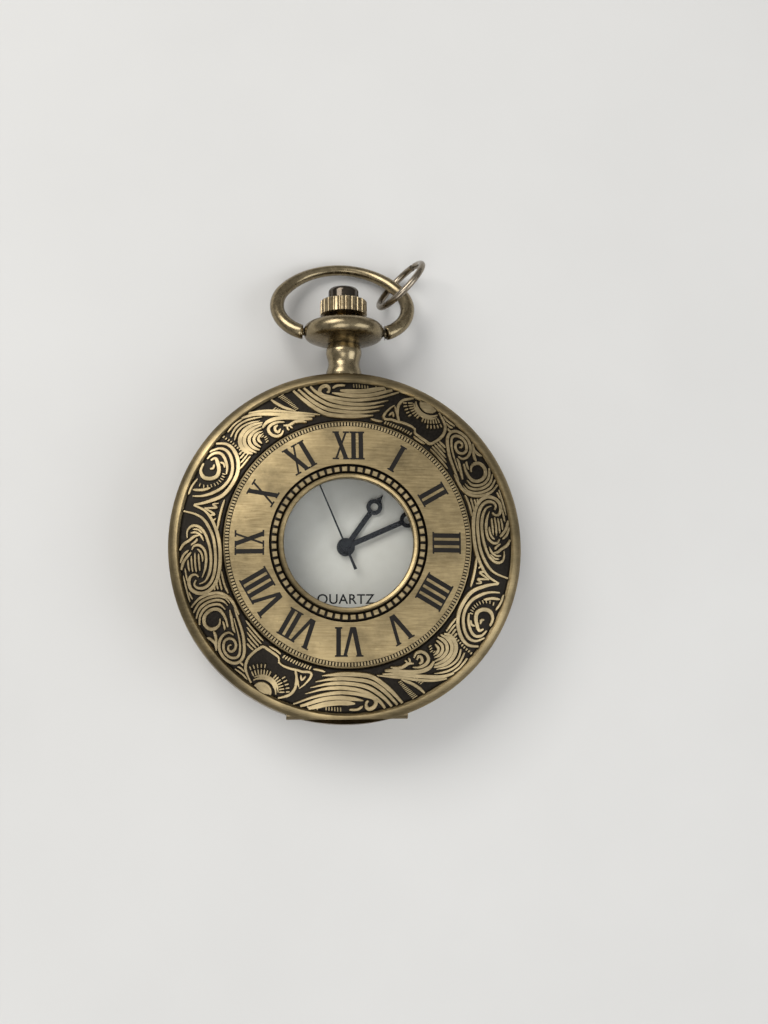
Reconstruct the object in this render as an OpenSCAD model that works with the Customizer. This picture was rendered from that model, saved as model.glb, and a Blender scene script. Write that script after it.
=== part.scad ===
// Half-hunter pocket watch: round case, hinged front cover with a small window,
// crown-released latch, bow with a jump ring, and a three-hand quartz movement.
// +X points to 3 o'clock, +Y to 12 o'clock and +Z out of the dial. The origin lies
// on the dial axis, in the flat of the back on which the watch rests. Millimetres.

/* [Case] */
// Outer diameter of the case band
case_d = 46; // [44:0.5:56]
// Height of the back cover under the band
back_h = 2.8; // [2.4:0.1:3.4]
// Height of the case band
band_h = 6.4; // [6.2:0.1:7.6]
// How far the band bulges at its middle
band_bulge = 0.45; // [0.2:0.05:0.8]
// Diameter of the flat that the watch rests on
rest_flat_d = 25; // [16:0.5:30]
// Thickness of the back cover's shell
back_wall = 0.8; // [0.6:0.05:1]
// Width of the thumb notch for opening the back
pry_w = 5; // [3:0.5:8]

/* [Front cover] */
// Diameter of the raised numeral plate
plate_d = 31.6; // [28:0.2:33]
// Diameter of the window's clear opening
window_d = 16.5; // [12:0.1:18]
// Width of the smooth ring round the window
window_ring_w = 0.65; // [0.4:0.05:0.9]
// Width of the groove that holds the bead ring
bead_groove_w = 1.2; // [0.8:0.05:1.5]
// Depth of the bead groove
bead_groove_depth = 0.25; // [0.1:0.05:0.35]
// Height of the numeral plate's inner edge above the cover's rim
plate_rise = 4.3; // [4:0.05:5.2]
// Thickness of the cover's shell
cover_wall = 0.75; // [0.5:0.05:0.9]
// Thickness of the window glass
window_t = 0.8; // [0.5:0.05:0.9]
// Height of the ring that holds the window glass
retainer_h = 0.3; // [0.2:0.05:0.5]

/* [Hinge] */
// Length of the hinge along its pin
hinge_len = 15.5; // [12:0.5:20]
// Length of the cover's middle knuckle
knuckle_len = 7.5; // [5:0.5:9]
// Radius of the knuckles
knuckle_r = 0.75; // [0.65:0.05:0.85]
// Radius of the hinge pin
hinge_pin_r = 0.35; // [0.25:0.05:0.4]

/* [Dial and glass] */
// Thickness of the dial
dial_t = 0.4; // [0.3:0.05:0.6]
// Width of the bezel, from its opening to its outside
bezel_w = 2.8; // [2.4:0.1:3.2]
// Height of the bezel above the dial
bezel_h = 2.4; // [2.3:0.05:2.6]
// Thickness of the dial glass at its edge
glass_t = 0.7; // [0.5:0.05:0.9]
// Rise of the dial glass's dome
glass_dome = 0.7; // [0.3:0.05:0.8]

/* [Hands] */
// Length of the hour hand from the centre
hour_len = 8.6; // [7:0.1:10]
// Length of the minute hand from the centre
minute_len = 13; // [11:0.1:15]
// Length of the second hand from the centre
second_len = 13; // [9:0.1:15]
// Length of the second hand's tail
second_tail = 3.2; // [2:0.1:5]
// Outer diameter of the open rings on the hour and minute hands
hand_ring_d = 2.1; // [1.6:0.1:2.4]
// Width of the hour and minute hands' bars
hand_bar_w = 0.7; // [0.4:0.05:0.9]
// Clockwise angle of the hour hand from 12 o'clock
hour_at = 35.5; // [0:0.5:360]
// Clockwise angle of the minute hand from 12 o'clock
minute_at = 66.1; // [0:0.1:360]
// Clockwise angle of the second hand from 12 o'clock
second_at = 337.2; // [0:0.1:360]

/* [Pendant and crown] */
// Radius of the neck at its two swellings
neck_r = 2.4; // [2.2:0.05:2.7]
// Radius of the neck at its waist
neck_waist_r = 2.1; // [2.05:0.05:2.2]
// Length of the neck between the band and the ball
neck_len = 4.55; // [3.5:0.05:6]
// Diameter of the flattened ball
ball_d = 10.9; // [10:0.1:11.6]
// Thickness of the flattened ball
ball_t = 3.9; // [3.8:0.05:4.6]
// Diameter of the knurled crown
crown_d = 6.3; // [5.6:0.1:6.8]
// Length of the crown's knurl
crown_knurl = 1.95; // [1.6:0.05:3]
// Number of ridges on the crown
crown_ridges = 24; // [16:1:36]
// Diameter of the smooth cap on the crown
cap_d = 4.1; // [3:0.1:4.6]
// Height of the cap
cap_h = 1.8; // [1:0.1:2.2]
// Travel of the crown when it is pressed
press_travel = 0.6; // [0.5:0.05:0.6]
// Travel of the crown when it is pulled
pull_travel = 1; // [0.6:0.1:1.2]
// Radius of the winding stem
stem_r = 0.6; // [0.5:0.05:0.65]

/* [Bow and jump ring] */
// Distance from the bow's pivot to the middle of its top wire
bow_reach = 11.6; // [11.2:0.1:12.8]
// Half width of the bow, to the middle of its wire
bow_half_w = 8.95; // [8.6:0.05:9.3]
// Height of the bow's widest place above its pivot
bow_wide_at = 4.65; // [4.1:0.05:4.8]
// Radius of the bow's side bends
bow_side_r = 4.95; // [4.85:0.05:5.15]
// Wire radius of the bow at its top
bow_top_r = 0.72; // [0.6:0.02:0.8]
// Wire radius of the bow at its ends
bow_end_r = 0.97; // [0.85:0.02:1]
// Mean radius of the jump ring
jump_r = 4.07; // [3.9:0.01:4.3]
// Wire radius of the jump ring
jump_wire_r = 0.45; // [0.35:0.01:0.47]

/* [Movement] */
// Diameter of the movement's main plate
plate_movement_d = 23.2; // [22.6:0.1:25]
// Height of the movement, from its bridge to the dial
movement_h = 3.2; // [3.2:0.05:3.6]
// Diameter of the battery
battery_d = 6.8; // [5.8:0.1:7]
// Height of the battery
battery_h = 2.15; // [1.6:0.05:2.15]
// Thickness of the train's wheels
wheel_t = 0.15; // [0.1:0.01:0.18]
// Radius of the wheels' arbors
arbor_r = 0.12; // [0.08:0.01:0.14]

/* [Clearances] */
// Gap round a piece that is set into its seat
seat_gap = 0.05; // [0.02:0.01:0.08]
// Radial gap of a shaft or pin that turns in its bore
run_gap = 0.04; // [0.02:0.01:0.06]
// Gap between hinge knuckles, and between the cover and the band
part_gap = 0.05; // [0.03:0.01:0.1]
// Height of the bow's lowest point over the rest plane
table_gap = 0.08; // [0.02:0.02:0.3]

/* [Hidden] */
$fn = 96;

// Levels of the case along Z
case_r = case_d / 2;
band_z0 = back_h;
band_z1 = band_z0 + band_h;
stem_z = band_z0 + 3.2;
bridge_z = band_z0 + 1.1;
dial_z0 = bridge_z + movement_h;
dial_z1 = dial_z0 + dial_t;
cover_z = band_z1 + part_gap;

// Radii of the case, each measured in from its outside
bore_r = case_r - 3.4;
back_seat_r = case_r - 2.1;
bezel_seat_r = case_r - 2.55;
bezel_r = bezel_seat_r - seat_gap;
bezel_in_r = bezel_r - bezel_w;
glass_r = bezel_in_r + 1;
dial_r = bore_r - 0.6;
cover_r = case_r - 0.15;
cover_recess_r = case_r - 1.55;
cover_inner_r = case_r - 1.1;
bulge_arc_r = pow(band_h / 2, 2) / (2 * band_bulge) + band_bulge / 2;
rest_r = rest_flat_d / 2;
rim_z = band_z0 - part_gap;
skirt_t = 0.55;
skirt_top = bridge_z - 0.2;

// Front cover
plate_r = plate_d / 2;
window_r = window_d / 2;
groove_in_r = window_r + window_ring_w;
groove_out_r = groove_in_r + bead_groove_w;
plate_z = cover_z + plate_rise;
plate_edge_z = plate_z - 0.57;
groove_z = plate_z - bead_groove_depth;
window_seat_r = window_r + 1.1;
window_seat_z = groove_z - 0.3;
window_z0 = window_seat_z - window_t;
retainer_z0 = window_z0 - retainer_h;
boss_r = window_seat_r + 0.75;
recess_in_z = plate_edge_z - 0.68;
recess_out_z = cover_z + 1.05;
coin_w = 0.5;
coin_depth = 0.12;

// Hinge
hinge_y = -(case_r - 1.55);
hinge_z = band_z1 - 0.15;
knuckle_gap = 0.1;
scoop_in_r = knuckle_r + 0.1;
cover_trim_y = hinge_y - knuckle_r;
scoop_out_r = norm([knuckle_r, 1.5]) + 0.1;

// Latch
pocket_y0 = bore_r - 0.6;
pocket_y1 = case_r - 1.1;
pocket_half_x = 3;
catch_y0 = case_r - 3.1;
catch_t = 0.5;
catch_y1 = catch_y0 + catch_t;
catch_half_x = 2.4;
catch_z0 = stem_z - 1.1;
catch_top = band_z1 - 0.2;
nose_h = 0.35;
nose_reach = 0.5;
lug_y0 = catch_y1 + nose_reach + 0.1;
lug_t = 0.5;
lug_half_x = 1.3;
lug_z0 = band_z1 - 0.9;
lug_nose_reach = 0.4;
fork_gap = 0.2;

// Pendant and crown, along Y
sleeve_in_r = stem_r + 0.15;
sleeve_r = stem_r + 0.6;
sleeve_y0 = catch_y1 + part_gap;
tenon_r = sleeve_r + 0.7;
ball_y = case_r + neck_len + ball_t / 2 - 0.1;
ball_r = ball_d / 2;
ball_top = ball_y + ball_t / 2;
spring_pocket_r = 2.05;
spring_pocket_y = ball_top - 3.7;
flange_r = spring_pocket_r - 0.15;
flange_y = ball_top - 1.8;
flange_t = 0.4;
crown_hub_r = 1.7;
crown_hub_y = ball_top - 0.9;
crown_cone_y = ball_top - 0.45;
crown_y0 = crown_cone_y + 0.85;
crown_dish_y = crown_cone_y - press_travel - 0.1;
crown_y1 = crown_y0 + crown_knurl;
crown_r = crown_d / 2;
cap_r = cap_d / 2;
sleeve_y1 = crown_hub_y - part_gap;
stem_y0 = 4.9;
stem_y1 = crown_y0 + 1;
lever_y = 9.6;
lever_t = 0.3;
lever_half_x = 1.1;
stem_groove_r = 0.3;
pinion_y = 5.3;
pinion_len = 1.6;

// Bow, in its own plane: X across, V away from the pivot
pivot_r = 0.5;
pivot_y = ball_y;
pivot_depth = 1.5;
bow_end_x = ball_r + 0.12;
bow_side_x = bow_half_w - bow_side_r;
bow_over = bow_reach - bow_side_r;
bow_top_v = (pow(bow_over, 2) - pow(bow_side_x, 2) - pow(bow_wide_at, 2))
    / (2 * (bow_over - bow_wide_at));
bow_top_arc_r = bow_reach - bow_top_v;
bow_join_a = atan2(bow_wide_at - bow_top_v, bow_side_x);
bow_end_a = -asin(bow_wide_at / bow_side_r) - 6;
bow_lie = asin((stem_z - bow_top_r - table_gap) / bow_reach);

// Jump ring: where the wire of the bow passes through it, and how it leans
jump_lean = 72;
jump_turn = -40;
jump_centre = [8, pivot_y + 7.27, jump_wire_r + table_gap + jump_r * sin(jump_lean)];
jump_split = 8;
jump_split_at = 114;

// Movement levels and places
movement_r = plate_movement_d / 2;
bridge_t = 0.4;
plate_z0 = bridge_z + 1.8;
motion_z = plate_z0 + 0.5;
motion_r = 2.15;
battery_at = [-6, 4.2];
battery_z = bridge_z + 0.05;
battery_gap = 0.1;
clamp_t = 0.2;
clamp_w = 2.2;
clamp_reach = battery_d / 2 + 1;
clamp_dir = 55;
pillar_r = 0.7;
screw_r = 0.3;
screw_head_r = 0.6;
screw_head_h = 0.3;
bridge_r = 5.4;
dial_foot_at = movement_r + 1.6;
dial_foot_r = 0.35;
board_z = bridge_z + 0.4;
bridge_pillars = [[2.1, 4.2, bridge_z + 0.4, bridge_z],
    [1.2, -4.4, bridge_z + 0.4, bridge_z]];
board_pillars = [[-7.8, -6.9, board_z + 0.2, board_z],
    [2.5, -6.6, board_z + 0.2, board_z]];
clamp_pillars = [for (side = [-1, 1]) [battery_at[0] + side * clamp_reach * cos(clamp_dir),
    battery_at[1] + side * clamp_reach * sin(clamp_dir), battery_z, battery_z - clamp_t]];
pillars = concat(bridge_pillars, board_pillars, clamp_pillars);
board_t = 0.2;
coil_x = 8.6;
coil_len = 8;
coil_r = 0.85;
core_t = 0.3;
core_w = 0.8;
core_y = 6.2;
stator_z = bridge_z + 0.6;
stator_t = 0.3;
coil_z = stator_z + stator_t + 0.15;
stator_w = 2;
magnet_r = 1;
magnet_h = 0.45;
magnet_gap = 0.2;

// Train: teeth, modules and directions of the arbors from the centre
rotor_teeth = 6;
fifth_teeth = 60;
fifth_leaves = 10;
seconds_teeth = 30;
seconds_leaves = 8;
third_teeth = 60;
third_leaves = 8;
centre_teeth = 64;
cannon_teeth = 12;
minute_teeth = 36;
minute_leaves = 12;
hour_teeth = 48;
rotor_module = 0.075;
fifth_module = 0.155;
third_module = 0.09;
third_dir = 210;
fifth_dir = 330;
rotor_dir = 20;
minute_dir = 60;
cannon_module = 0.1;
third_dist = third_module * (seconds_leaves + third_teeth) / 2;
centre_module = 2 * third_dist / (third_leaves + centre_teeth);
fifth_dist = fifth_module * (fifth_leaves + seconds_teeth) / 2;
rotor_dist = rotor_module * (rotor_teeth + fifth_teeth) / 2;
minute_dist = cannon_module * (cannon_teeth + minute_teeth) / 2;
hour_module = 2 * minute_dist / (minute_leaves + hour_teeth);
third_at = third_dist * [cos(third_dir), sin(third_dir)];
fifth_at = fifth_dist * [cos(fifth_dir), sin(fifth_dir)];
rotor_at = fifth_at + rotor_dist * [cos(rotor_dir), sin(rotor_dir)];
minute_at_xy = minute_dist * [cos(minute_dir), sin(minute_dir)];

// Pipes of the hands, one inside the other
cannon_in_r = arbor_r + run_gap;
cannon_r = cannon_in_r + 0.29;
hour_in_r = cannon_r + run_gap;
hour_pipe_r = hour_in_r + 0.27;
dial_hole_r = hour_pipe_r + 0.2;

// Levels of the hands and of the glass over them
glass_seat_h = 1.8;
hour_z = dial_z1 + 0.35;
minute_z = hour_z + 0.4;
second_z = minute_z + 0.4;
hand_t = 0.16;
hub_r = 1.18;

function polar(r, a) = [r * cos(a), r * sin(a)];

// Points from p to q on a shallow curve that swells by sag to the left of its way
function bowed(p, q, sag, n) = [for (i = [0:n])
    let (t = i / n, d = q - p)
    p + d * t + [-d[1], d[0]] / norm(d) * 4 * sag * t * (1 - t)];

module revolved(points) {
    rotate_extrude() polygon(points);
}

module tube(r_out, r_in, h) {
    difference() {
        cylinder(r = r_out, h = h);
        translate([0, 0, -1]) cylinder(r = r_in, h = h + 2);
    }
}

// Puts a shape that stands on +Z along +Y, on the stem's axis
module on_stem(y) {
    translate([0, y, stem_z]) rotate([-90, 0, 0]) children();
}

// A rod along X, centred on the given place
module rod_x(r, length, y, z) {
    translate([-length / 2, y, z]) rotate([0, 90, 0]) cylinder(r = r, h = length);
}

// Wheel or pinion with straight-flanked teeth, one of them centred on +X
module toothed(teeth, tooth_module, h, tip = 1, root = 1.25) {
    pitch = 360 / teeth;
    pitch_r = teeth * tooth_module / 2;
    root_r = pitch_r - root * tooth_module;
    tip_r = pitch_r + tip * tooth_module;
    linear_extrude(h) polygon([for (i = [0:teeth - 1])
        for (c = [[root_r, -0.31], [tip_r, -0.11], [tip_r, 0.11], [root_r, 0.31]])
            polar(c[0], (i + c[1]) * pitch)]);
}

// Solid of rotation with an elliptical look: a flattened ball of radius r, height h
module flat_ball(r, h, edge_r) {
    over = (pow(r - edge_r, 2) - pow(h / 2 - edge_r, 2)) / (h - 2 * edge_r);
    face_r = over + h / 2;
    tangent_x = (r - edge_r) * face_r / (face_r - edge_r);
    rotate_extrude() {
        translate([r - edge_r, 0]) circle(r = edge_r);
        intersection() {
            translate([0, -over]) circle(r = face_r);
            translate([0, over]) circle(r = face_r);
            translate([0, -h]) square([tangent_x, 2 * h]);
        }
    }
}

// Closed round tube through the points p with radii r; each section stands on its way
module swept(p, r, sides) {
    last = len(p) - 1;
    rings = [for (i = [0:last])
        let (
            d = p[min(i + 1, last)] - p[max(i - 1, 0)],
            t = d / norm(d),
            side = cross(t, [0, 0, 1]),
            a = side / norm(side),
            b = cross(t, a)
        )
        for (k = [0:sides - 1])
            p[i] + r[i] * (a * cos(360 * k / sides) + b * sin(360 * k / sides))];
    walls = [for (i = [0:last - 1]) for (k = [0:sides - 1])
        let (n = (k + 1) % sides, a = i * sides, b = a + sides)
        each [[a + k, b + n, a + n], [a + k, b + k, b + n]]];
    first_cap = [for (k = [0:sides - 1]) k];
    last_cap = [for (k = [0:sides - 1]) last * sides + sides - 1 - k];
    polyhedron(rings, concat(walls, [first_cap, last_cap]), convexity = 6);
}

module case_middle() {
    color("#7d7050") difference() {
        union() {
            difference() {
                band_body();
                hinge_scoops();
            }
            for (side = [-1, 1])
                translate([side * (knuckle_len + hinge_len + 2 * knuckle_gap) / 4, 0, 0])
                    rod_x(knuckle_r, (hinge_len - knuckle_len) / 2 - knuckle_gap,
                        hinge_y, hinge_z);
        }
        rod_x(hinge_pin_r, hinge_len + 1, hinge_y, hinge_z);
    }
}

module band_outline() {
    intersection() {
        translate([bore_r, band_z0]) square([case_r - bore_r + 1, band_h]);
        translate([case_r - bulge_arc_r, band_z0 + band_h / 2]) circle(r = bulge_arc_r);
    }
}

module band_body() {
    difference() {
        rotate_extrude() band_outline();
        translate([0, 0, dial_z1]) cylinder(r = bezel_seat_r, h = band_h);
        translate([0, 0, band_z0 - 1]) cylinder(r = back_seat_r, h = bridge_z - band_z0 + 1);
        translate([-pocket_half_x, pocket_y0, stem_z - 1.4])
            cube([2 * pocket_half_x, pocket_y1 - pocket_y0, band_h]);
        on_stem(pocket_y1 - 1) cylinder(r = tenon_r, h = 4);
    }
}

module hinge_scoops() {
    intersection() {
        rod_x(scoop_out_r, hinge_len + 0.2, hinge_y, hinge_z);
        translate([-hinge_len, hinge_y - 5, hinge_z - 5]) cube([2 * hinge_len, 5, 10]);
    }
    rod_x(scoop_in_r, knuckle_len + 2 * knuckle_gap, hinge_y, hinge_z);
}

module case_back() {
    color("#b79a62") difference() {
        revolved(concat(
            [[0, 0]],
            bowed([rest_r, 0], [case_r - 1.1, band_z0 - 1.05], -0.25, 10),
            [[case_r - 0.55, band_z0 - 0.5], [case_r - band_bulge, rim_z],
                [back_seat_r - seat_gap, rim_z], [back_seat_r - seat_gap, skirt_top],
                [back_seat_r - seat_gap - skirt_t, skirt_top],
                [back_seat_r - seat_gap - skirt_t, band_z0 - 0.45],
                [rest_r + 0.5, back_wall], [0, back_wall]]
        ));
        translate([-pry_w / 2, -case_r - 1, rim_z - 0.35]) cube([pry_w, 1.6, 1]);
    }
}

module back_gasket() {
    color("#222222") translate([0, 0, skirt_top])
        tube(back_seat_r - seat_gap, back_seat_r - seat_gap - skirt_t, bridge_z - skirt_top);
}

module hinge_pin() {
    color("#a08a58") rod_x(hinge_pin_r, hinge_len, hinge_y, hinge_z);
}

module neck() {
    steps = 24;
    on_stem(case_r - 1) revolved(concat(
        [[0, 0]],
        [for (i = [0:steps])
            let (t = i / steps, y = t * (neck_len + 1.5))
            [neck_waist_r + (neck_r - neck_waist_r) * pow(sin(360 * t), 2), y]],
        [[0, neck_len + 1.5]]
    ));
}

module pendant() {
    color("#7d7050") difference() {
        union() {
            difference() {
                neck();
                band_solid();
            }
            on_stem(pocket_y1) cylinder(r = tenon_r, h = case_r - pocket_y1 + 1);
            on_stem(ball_y) flat_ball(ball_r, ball_t, 1.2);
        }
        on_stem(pocket_y1 - 1) cylinder(r = sleeve_r + run_gap, h = 20);
        on_stem(spring_pocket_y) cylinder(r = spring_pocket_r, h = 8);
        on_stem(crown_dish_y) revolved([
            [0, 0], [crown_hub_r, 0], [crown_r, crown_y0 - crown_cone_y], [crown_r, 3], [0, 3]
        ]);
        for (side = [-1, 1])
            translate([side * (ball_r - pivot_depth + 2), 0, 0])
                rod_x(pivot_r + run_gap, 4, pivot_y, stem_z);
    }
}

module band_solid() {
    rotate_extrude() intersection() {
        translate([0, band_z0]) square([case_r + 1, band_h]);
        union() {
            translate([case_r - bulge_arc_r, band_z0 + band_h / 2]) circle(r = bulge_arc_r);
            translate([0, band_z0]) square([case_r - bulge_arc_r + 1, band_h]);
        }
    }
}

module bezel() {
    color("#b79a62") difference() {
        revolved([
            [bezel_in_r, dial_z1], [bezel_r, dial_z1], [bezel_r, band_z1 - 0.1],
            [bezel_r - 0.4, dial_z1 + bezel_h - 0.15], [bezel_r - 1, dial_z1 + bezel_h],
            [glass_r + seat_gap, dial_z1 + bezel_h],
            [glass_r + seat_gap, dial_z1 + glass_seat_h], [bezel_in_r, dial_z1 + glass_seat_h]
        ]);
        translate([-pocket_half_x, pocket_y0, dial_z1 - 1]) cube([2 * pocket_half_x, 4, 6]);
    }
}

module dial_glass() {
    seat_z = dial_z1 + glass_seat_h;
    color("#cfe0ee", 0.35) revolved(concat(
        [[0, seat_z], [glass_r, seat_z]],
        [for (i = [0:12]) let (r = glass_r * (1 - i / 12))
            [r, seat_z + glass_t + glass_dome * (1 - pow(r / glass_r, 2))]]
    ));
}

module dial() {
    color("#ece8df") {
        translate([0, 0, dial_z0]) tube(dial_r, dial_hole_r, dial_t);
        for (a = [0, 180])
            rotate([0, 0, a]) translate([dial_foot_at, 0, dial_z0 - 1.2])
                cylinder(r = dial_foot_r, h = 1.2);
    }
}
module movement_holder() {
    rim_t = 0.8;
    web_t = 0.6;
    color("#30302e") difference() {
        revolved([
            [movement_r + seat_gap, bridge_z + 1], [movement_r + 0.9, bridge_z + 1],
            [movement_r + 0.9, dial_z0 - web_t], [bore_r - seat_gap - rim_t, dial_z0 - web_t],
            [bore_r - seat_gap - rim_t, bridge_z], [bore_r - seat_gap, bridge_z],
            [bore_r - seat_gap, dial_z0], [movement_r + seat_gap, dial_z0]
        ]);
        translate([-pocket_half_x - 0.1, pocket_y0 - 0.1, 0]) cube([2 * pocket_half_x + 0.2, 5, 12]);
        translate([-stem_r - 0.3, movement_r - 1, stem_z - stem_r - 0.3])
            cube([2 * stem_r + 0.6, bore_r, 4]);
        for (a = [0, 180])
            rotate([0, 0, a]) translate([dial_foot_at, 0, 0]) cylinder(r = dial_foot_r + seat_gap, h = 12);
    }
}

module main_plate() {
    color("#c8b070") difference() {
        union() {
            translate([0, 0, plate_z0]) cylinder(r = movement_r, h = dial_z0 - plate_z0);
            for (p = pillars)
                translate([p[0], p[1], p[2]]) cylinder(r = pillar_r, h = plate_z0 - p[2] + 0.1);
        }
        for (p = pillars)
            translate([p[0], p[1], p[2] - 1]) cylinder(r = screw_r, h = 2.5);
        translate([battery_at[0], battery_at[1], bridge_z - 1])
            cylinder(r = battery_d / 2 + battery_gap, h = battery_z + battery_h + battery_gap - bridge_z + 1);
        translate([coil_x - coil_r - 0.2, -coil_len / 2 - 0.2, coil_z - 2])
            cube([2 * coil_r + 0.4, coil_len + 0.4, coil_r + 2.15]);
        translate([-stem_r - 0.15, stem_y0 - press_travel - 0.2, plate_z0 - 1])
            cube([2 * stem_r + 0.3, movement_r, stem_z + stem_r + 0.15 - plate_z0 + 1]);
        translate([-1.25, pinion_y - press_travel - 0.3, plate_z0 - 1])
            cube([2.5, pinion_len + pull_travel + press_travel + 1, dial_z0 - plate_z0 + 0.9]);
        translate([-lever_half_x - 0.15, lever_y - press_travel - 0.3, plate_z0 - 1])
            cube([2 * lever_half_x + 0.3, press_travel + pull_travel + lever_t + 0.6, 1.9]);
        translate([0, 0, motion_z]) cylinder(r = motion_r, h = 2);
        translate([minute_at_xy[0], minute_at_xy[1], motion_z])
            cylinder(r = cannon_module * (minute_teeth / 2 + 2), h = 2);
        translate([0, 0, plate_z0 - 1]) cylinder(r = cannon_r + run_gap, h = 4);
        for (p = [third_at, fifth_at, rotor_at])
            translate([p[0], p[1], plate_z0 - 1]) cylinder(r = arbor_r + run_gap, h = 1.45);
    }
    color("#c8b070") translate([minute_at_xy[0], minute_at_xy[1], motion_z])
        cylinder(r = arbor_r + 0.05, h = dial_z0 - motion_z - 0.1);
}

module train_bridge() {
    color("#c8b070") difference() {
        translate([0, 0, bridge_z]) cylinder(r = bridge_r, h = bridge_t);
        translate([battery_at[0], battery_at[1], bridge_z - 1])
            cylinder(r = battery_d / 2 + 0.3, h = 3);
        for (p = bridge_pillars)
            translate([p[0], p[1], bridge_z - 1]) cylinder(r = screw_r + run_gap, h = 3);
        for (p = [[0, 0], third_at, fifth_at, rotor_at])
            translate([p[0], p[1], bridge_z - 1]) cylinder(r = arbor_r + run_gap, h = 3);
    }
}

module movement_screws() {
    color("#9a9aa0") for (p = pillars)
        translate([p[0], p[1], 0]) difference() {
            union() {
                translate([0, 0, p[3] - screw_head_h]) cylinder(r = screw_head_r, h = screw_head_h);
                translate([0, 0, p[3]]) cylinder(r = screw_r - 0.02, h = p[2] - p[3] + 1.2);
            }
            translate([-screw_head_r, -0.08, p[3] - screw_head_h - 1])
                cube([2 * screw_head_r, 0.16, 1.12]);
        }
}

module stator() {
    tab_x = coil_x + core_w / 2;
    color("#8a8f96") difference() {
        translate([0, 0, stator_z]) linear_extrude(stator_t) {
            translate([rotor_at[0] - stator_w / 2, -core_y]) square([stator_w, 2 * core_y]);
            translate(rotor_at) circle(r = magnet_r + magnet_gap + 0.3);
            for (y = [-core_y, core_y - 1.2])
                translate([rotor_at[0] - stator_w / 2, y])
                    square([tab_x - rotor_at[0] + stator_w / 2, 1.2]);
        }
        translate([rotor_at[0], rotor_at[1], stator_z - 1])
            cylinder(r = magnet_r + magnet_gap, h = 3);
    }
}

module coil_core() {
    color("#8a8f96") translate([coil_x - core_w / 2, -core_y, stator_z + stator_t])
        cube([core_w, 2 * core_y, core_t]);
}

module coil_winding() {
    color("#b4602c") difference() {
        translate([coil_x, coil_len / 2, coil_z]) rotate([90, 0, 0])
            cylinder(r = coil_r, h = coil_len);
        translate([coil_x - core_w / 2, -coil_len, stator_z + stator_t])
            cube([core_w, 2 * coil_len, core_t]);
    }
}

module circuit_board() {
    color("#2f5d3a") difference() {
        intersection() {
            translate([0, 0, board_z]) cylinder(r = movement_r - 0.4, h = board_t);
            translate([-9.6, -movement_r, board_z]) cube([13, movement_r - 5.9, board_t]);
        }
        for (p = board_pillars)
            translate([p[0], p[1], board_z - 1]) cylinder(r = screw_r + run_gap, h = 3);
    }
}

module quartz_oscillator() {
    can_r = 0.55;
    color("#c9ccd0") translate([-5.2, -8.3, board_z + board_t + can_r]) rotate([0, 90, 0])
        cylinder(r = can_r, h = 5);
}

module timing_chip() {
    color("#18181a") translate([0.2, -9.7, board_z + board_t]) cube([2.2, 2.2, 0.6]);
}

module battery() {
    color("#b9bcc0") translate([battery_at[0], battery_at[1], battery_z]) {
        cylinder(r = battery_d / 2 - 0.5, h = 0.3);
        translate([0, 0, 0.3]) cylinder(r = battery_d / 2, h = battery_h - 0.3);
    }
}

module battery_clamp() {
    color("#b9bcc0") difference() {
        translate([battery_at[0], battery_at[1], battery_z - clamp_t]) rotate([0, 0, clamp_dir])
            translate([-clamp_reach - 0.9, -clamp_w / 2, 0])
                cube([2 * clamp_reach + 1.8, clamp_w, clamp_t]);
        for (p = clamp_pillars)
            translate([p[0], p[1], battery_z - 1]) cylinder(r = screw_r + run_gap, h = 3);
    }
}

// Leaf that bows outwards and holds the catch engaged
module catch_spring() {
    leaf_t = 0.1;
    half_x = pocket_half_x - 0.4;
    low = pocket_y0 + 0.1;
    high = catch_y0 - leaf_t;
    steps = 12;
    centre = [for (i = [0:steps])
        let (x = half_x * (2 * i / steps - 1))
        [x, low + (high - low) * pow(cos(90 * x / half_x), 2)]];
    color("#b9bcc0") translate([0, 0, dial_z0 - 0.1]) linear_extrude(0.4)
        polygon(concat(centre, [for (i = [steps:-1:0]) centre[i] + [0, leaf_t]]));
}

module press_sleeve() {
    color("#9a9aa0") difference() {
        union() {
            on_stem(sleeve_y0) cylinder(r = sleeve_r, h = sleeve_y1 - sleeve_y0);
            on_stem(flange_y) cylinder(r = flange_r, h = flange_t);
        }
        on_stem(sleeve_y0 - 1) cylinder(r = sleeve_in_r, h = sleeve_y1 - sleeve_y0 + 2);
    }
}

module release_spring() {
    wire_r = 0.13;
    turns = 4;
    per_turn = 14;
    steps = turns * per_turn;
    coil_r_mean = (sleeve_r + spring_pocket_r) / 2;
    start = spring_pocket_y + wire_r + 0.02;
    rise = flange_y - start - wire_r - 0.02;
    color("#b9bcc0") swept(
        [for (i = [0:steps])
            [coil_r_mean * cos(i * 360 / per_turn), start + rise * i / steps,
                stem_z + coil_r_mean * sin(i * 360 / per_turn)]],
        [for (i = [0:steps]) wire_r], 8);
}

module latch_catch() {
    color("#9a9aa0") difference() {
        union() {
            translate([-catch_half_x, catch_y0, catch_z0])
                cube([2 * catch_half_x, catch_t, catch_top - catch_z0]);
            translate([-lug_half_x - 0.2, catch_y1 - 0.1, catch_top - nose_h])
                cube([2 * lug_half_x + 0.4, nose_reach + 0.1, nose_h]);
        }
        translate([-stem_r - fork_gap, catch_y0 - 1, 0])
            cube([2 * (stem_r + fork_gap), 3, stem_z + stem_r + fork_gap]);
    }
}

module setting_lever() {
    color("#9a9aa0") difference() {
        translate([-lever_half_x, lever_y, stem_z - 1.1]) cube([2 * lever_half_x, lever_t, 1.6]);
        translate([0, lever_y - 1, stem_z]) rotate([-90, 0, 0])
            cylinder(r = stem_groove_r + run_gap, h = 3);
    }
}

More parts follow.
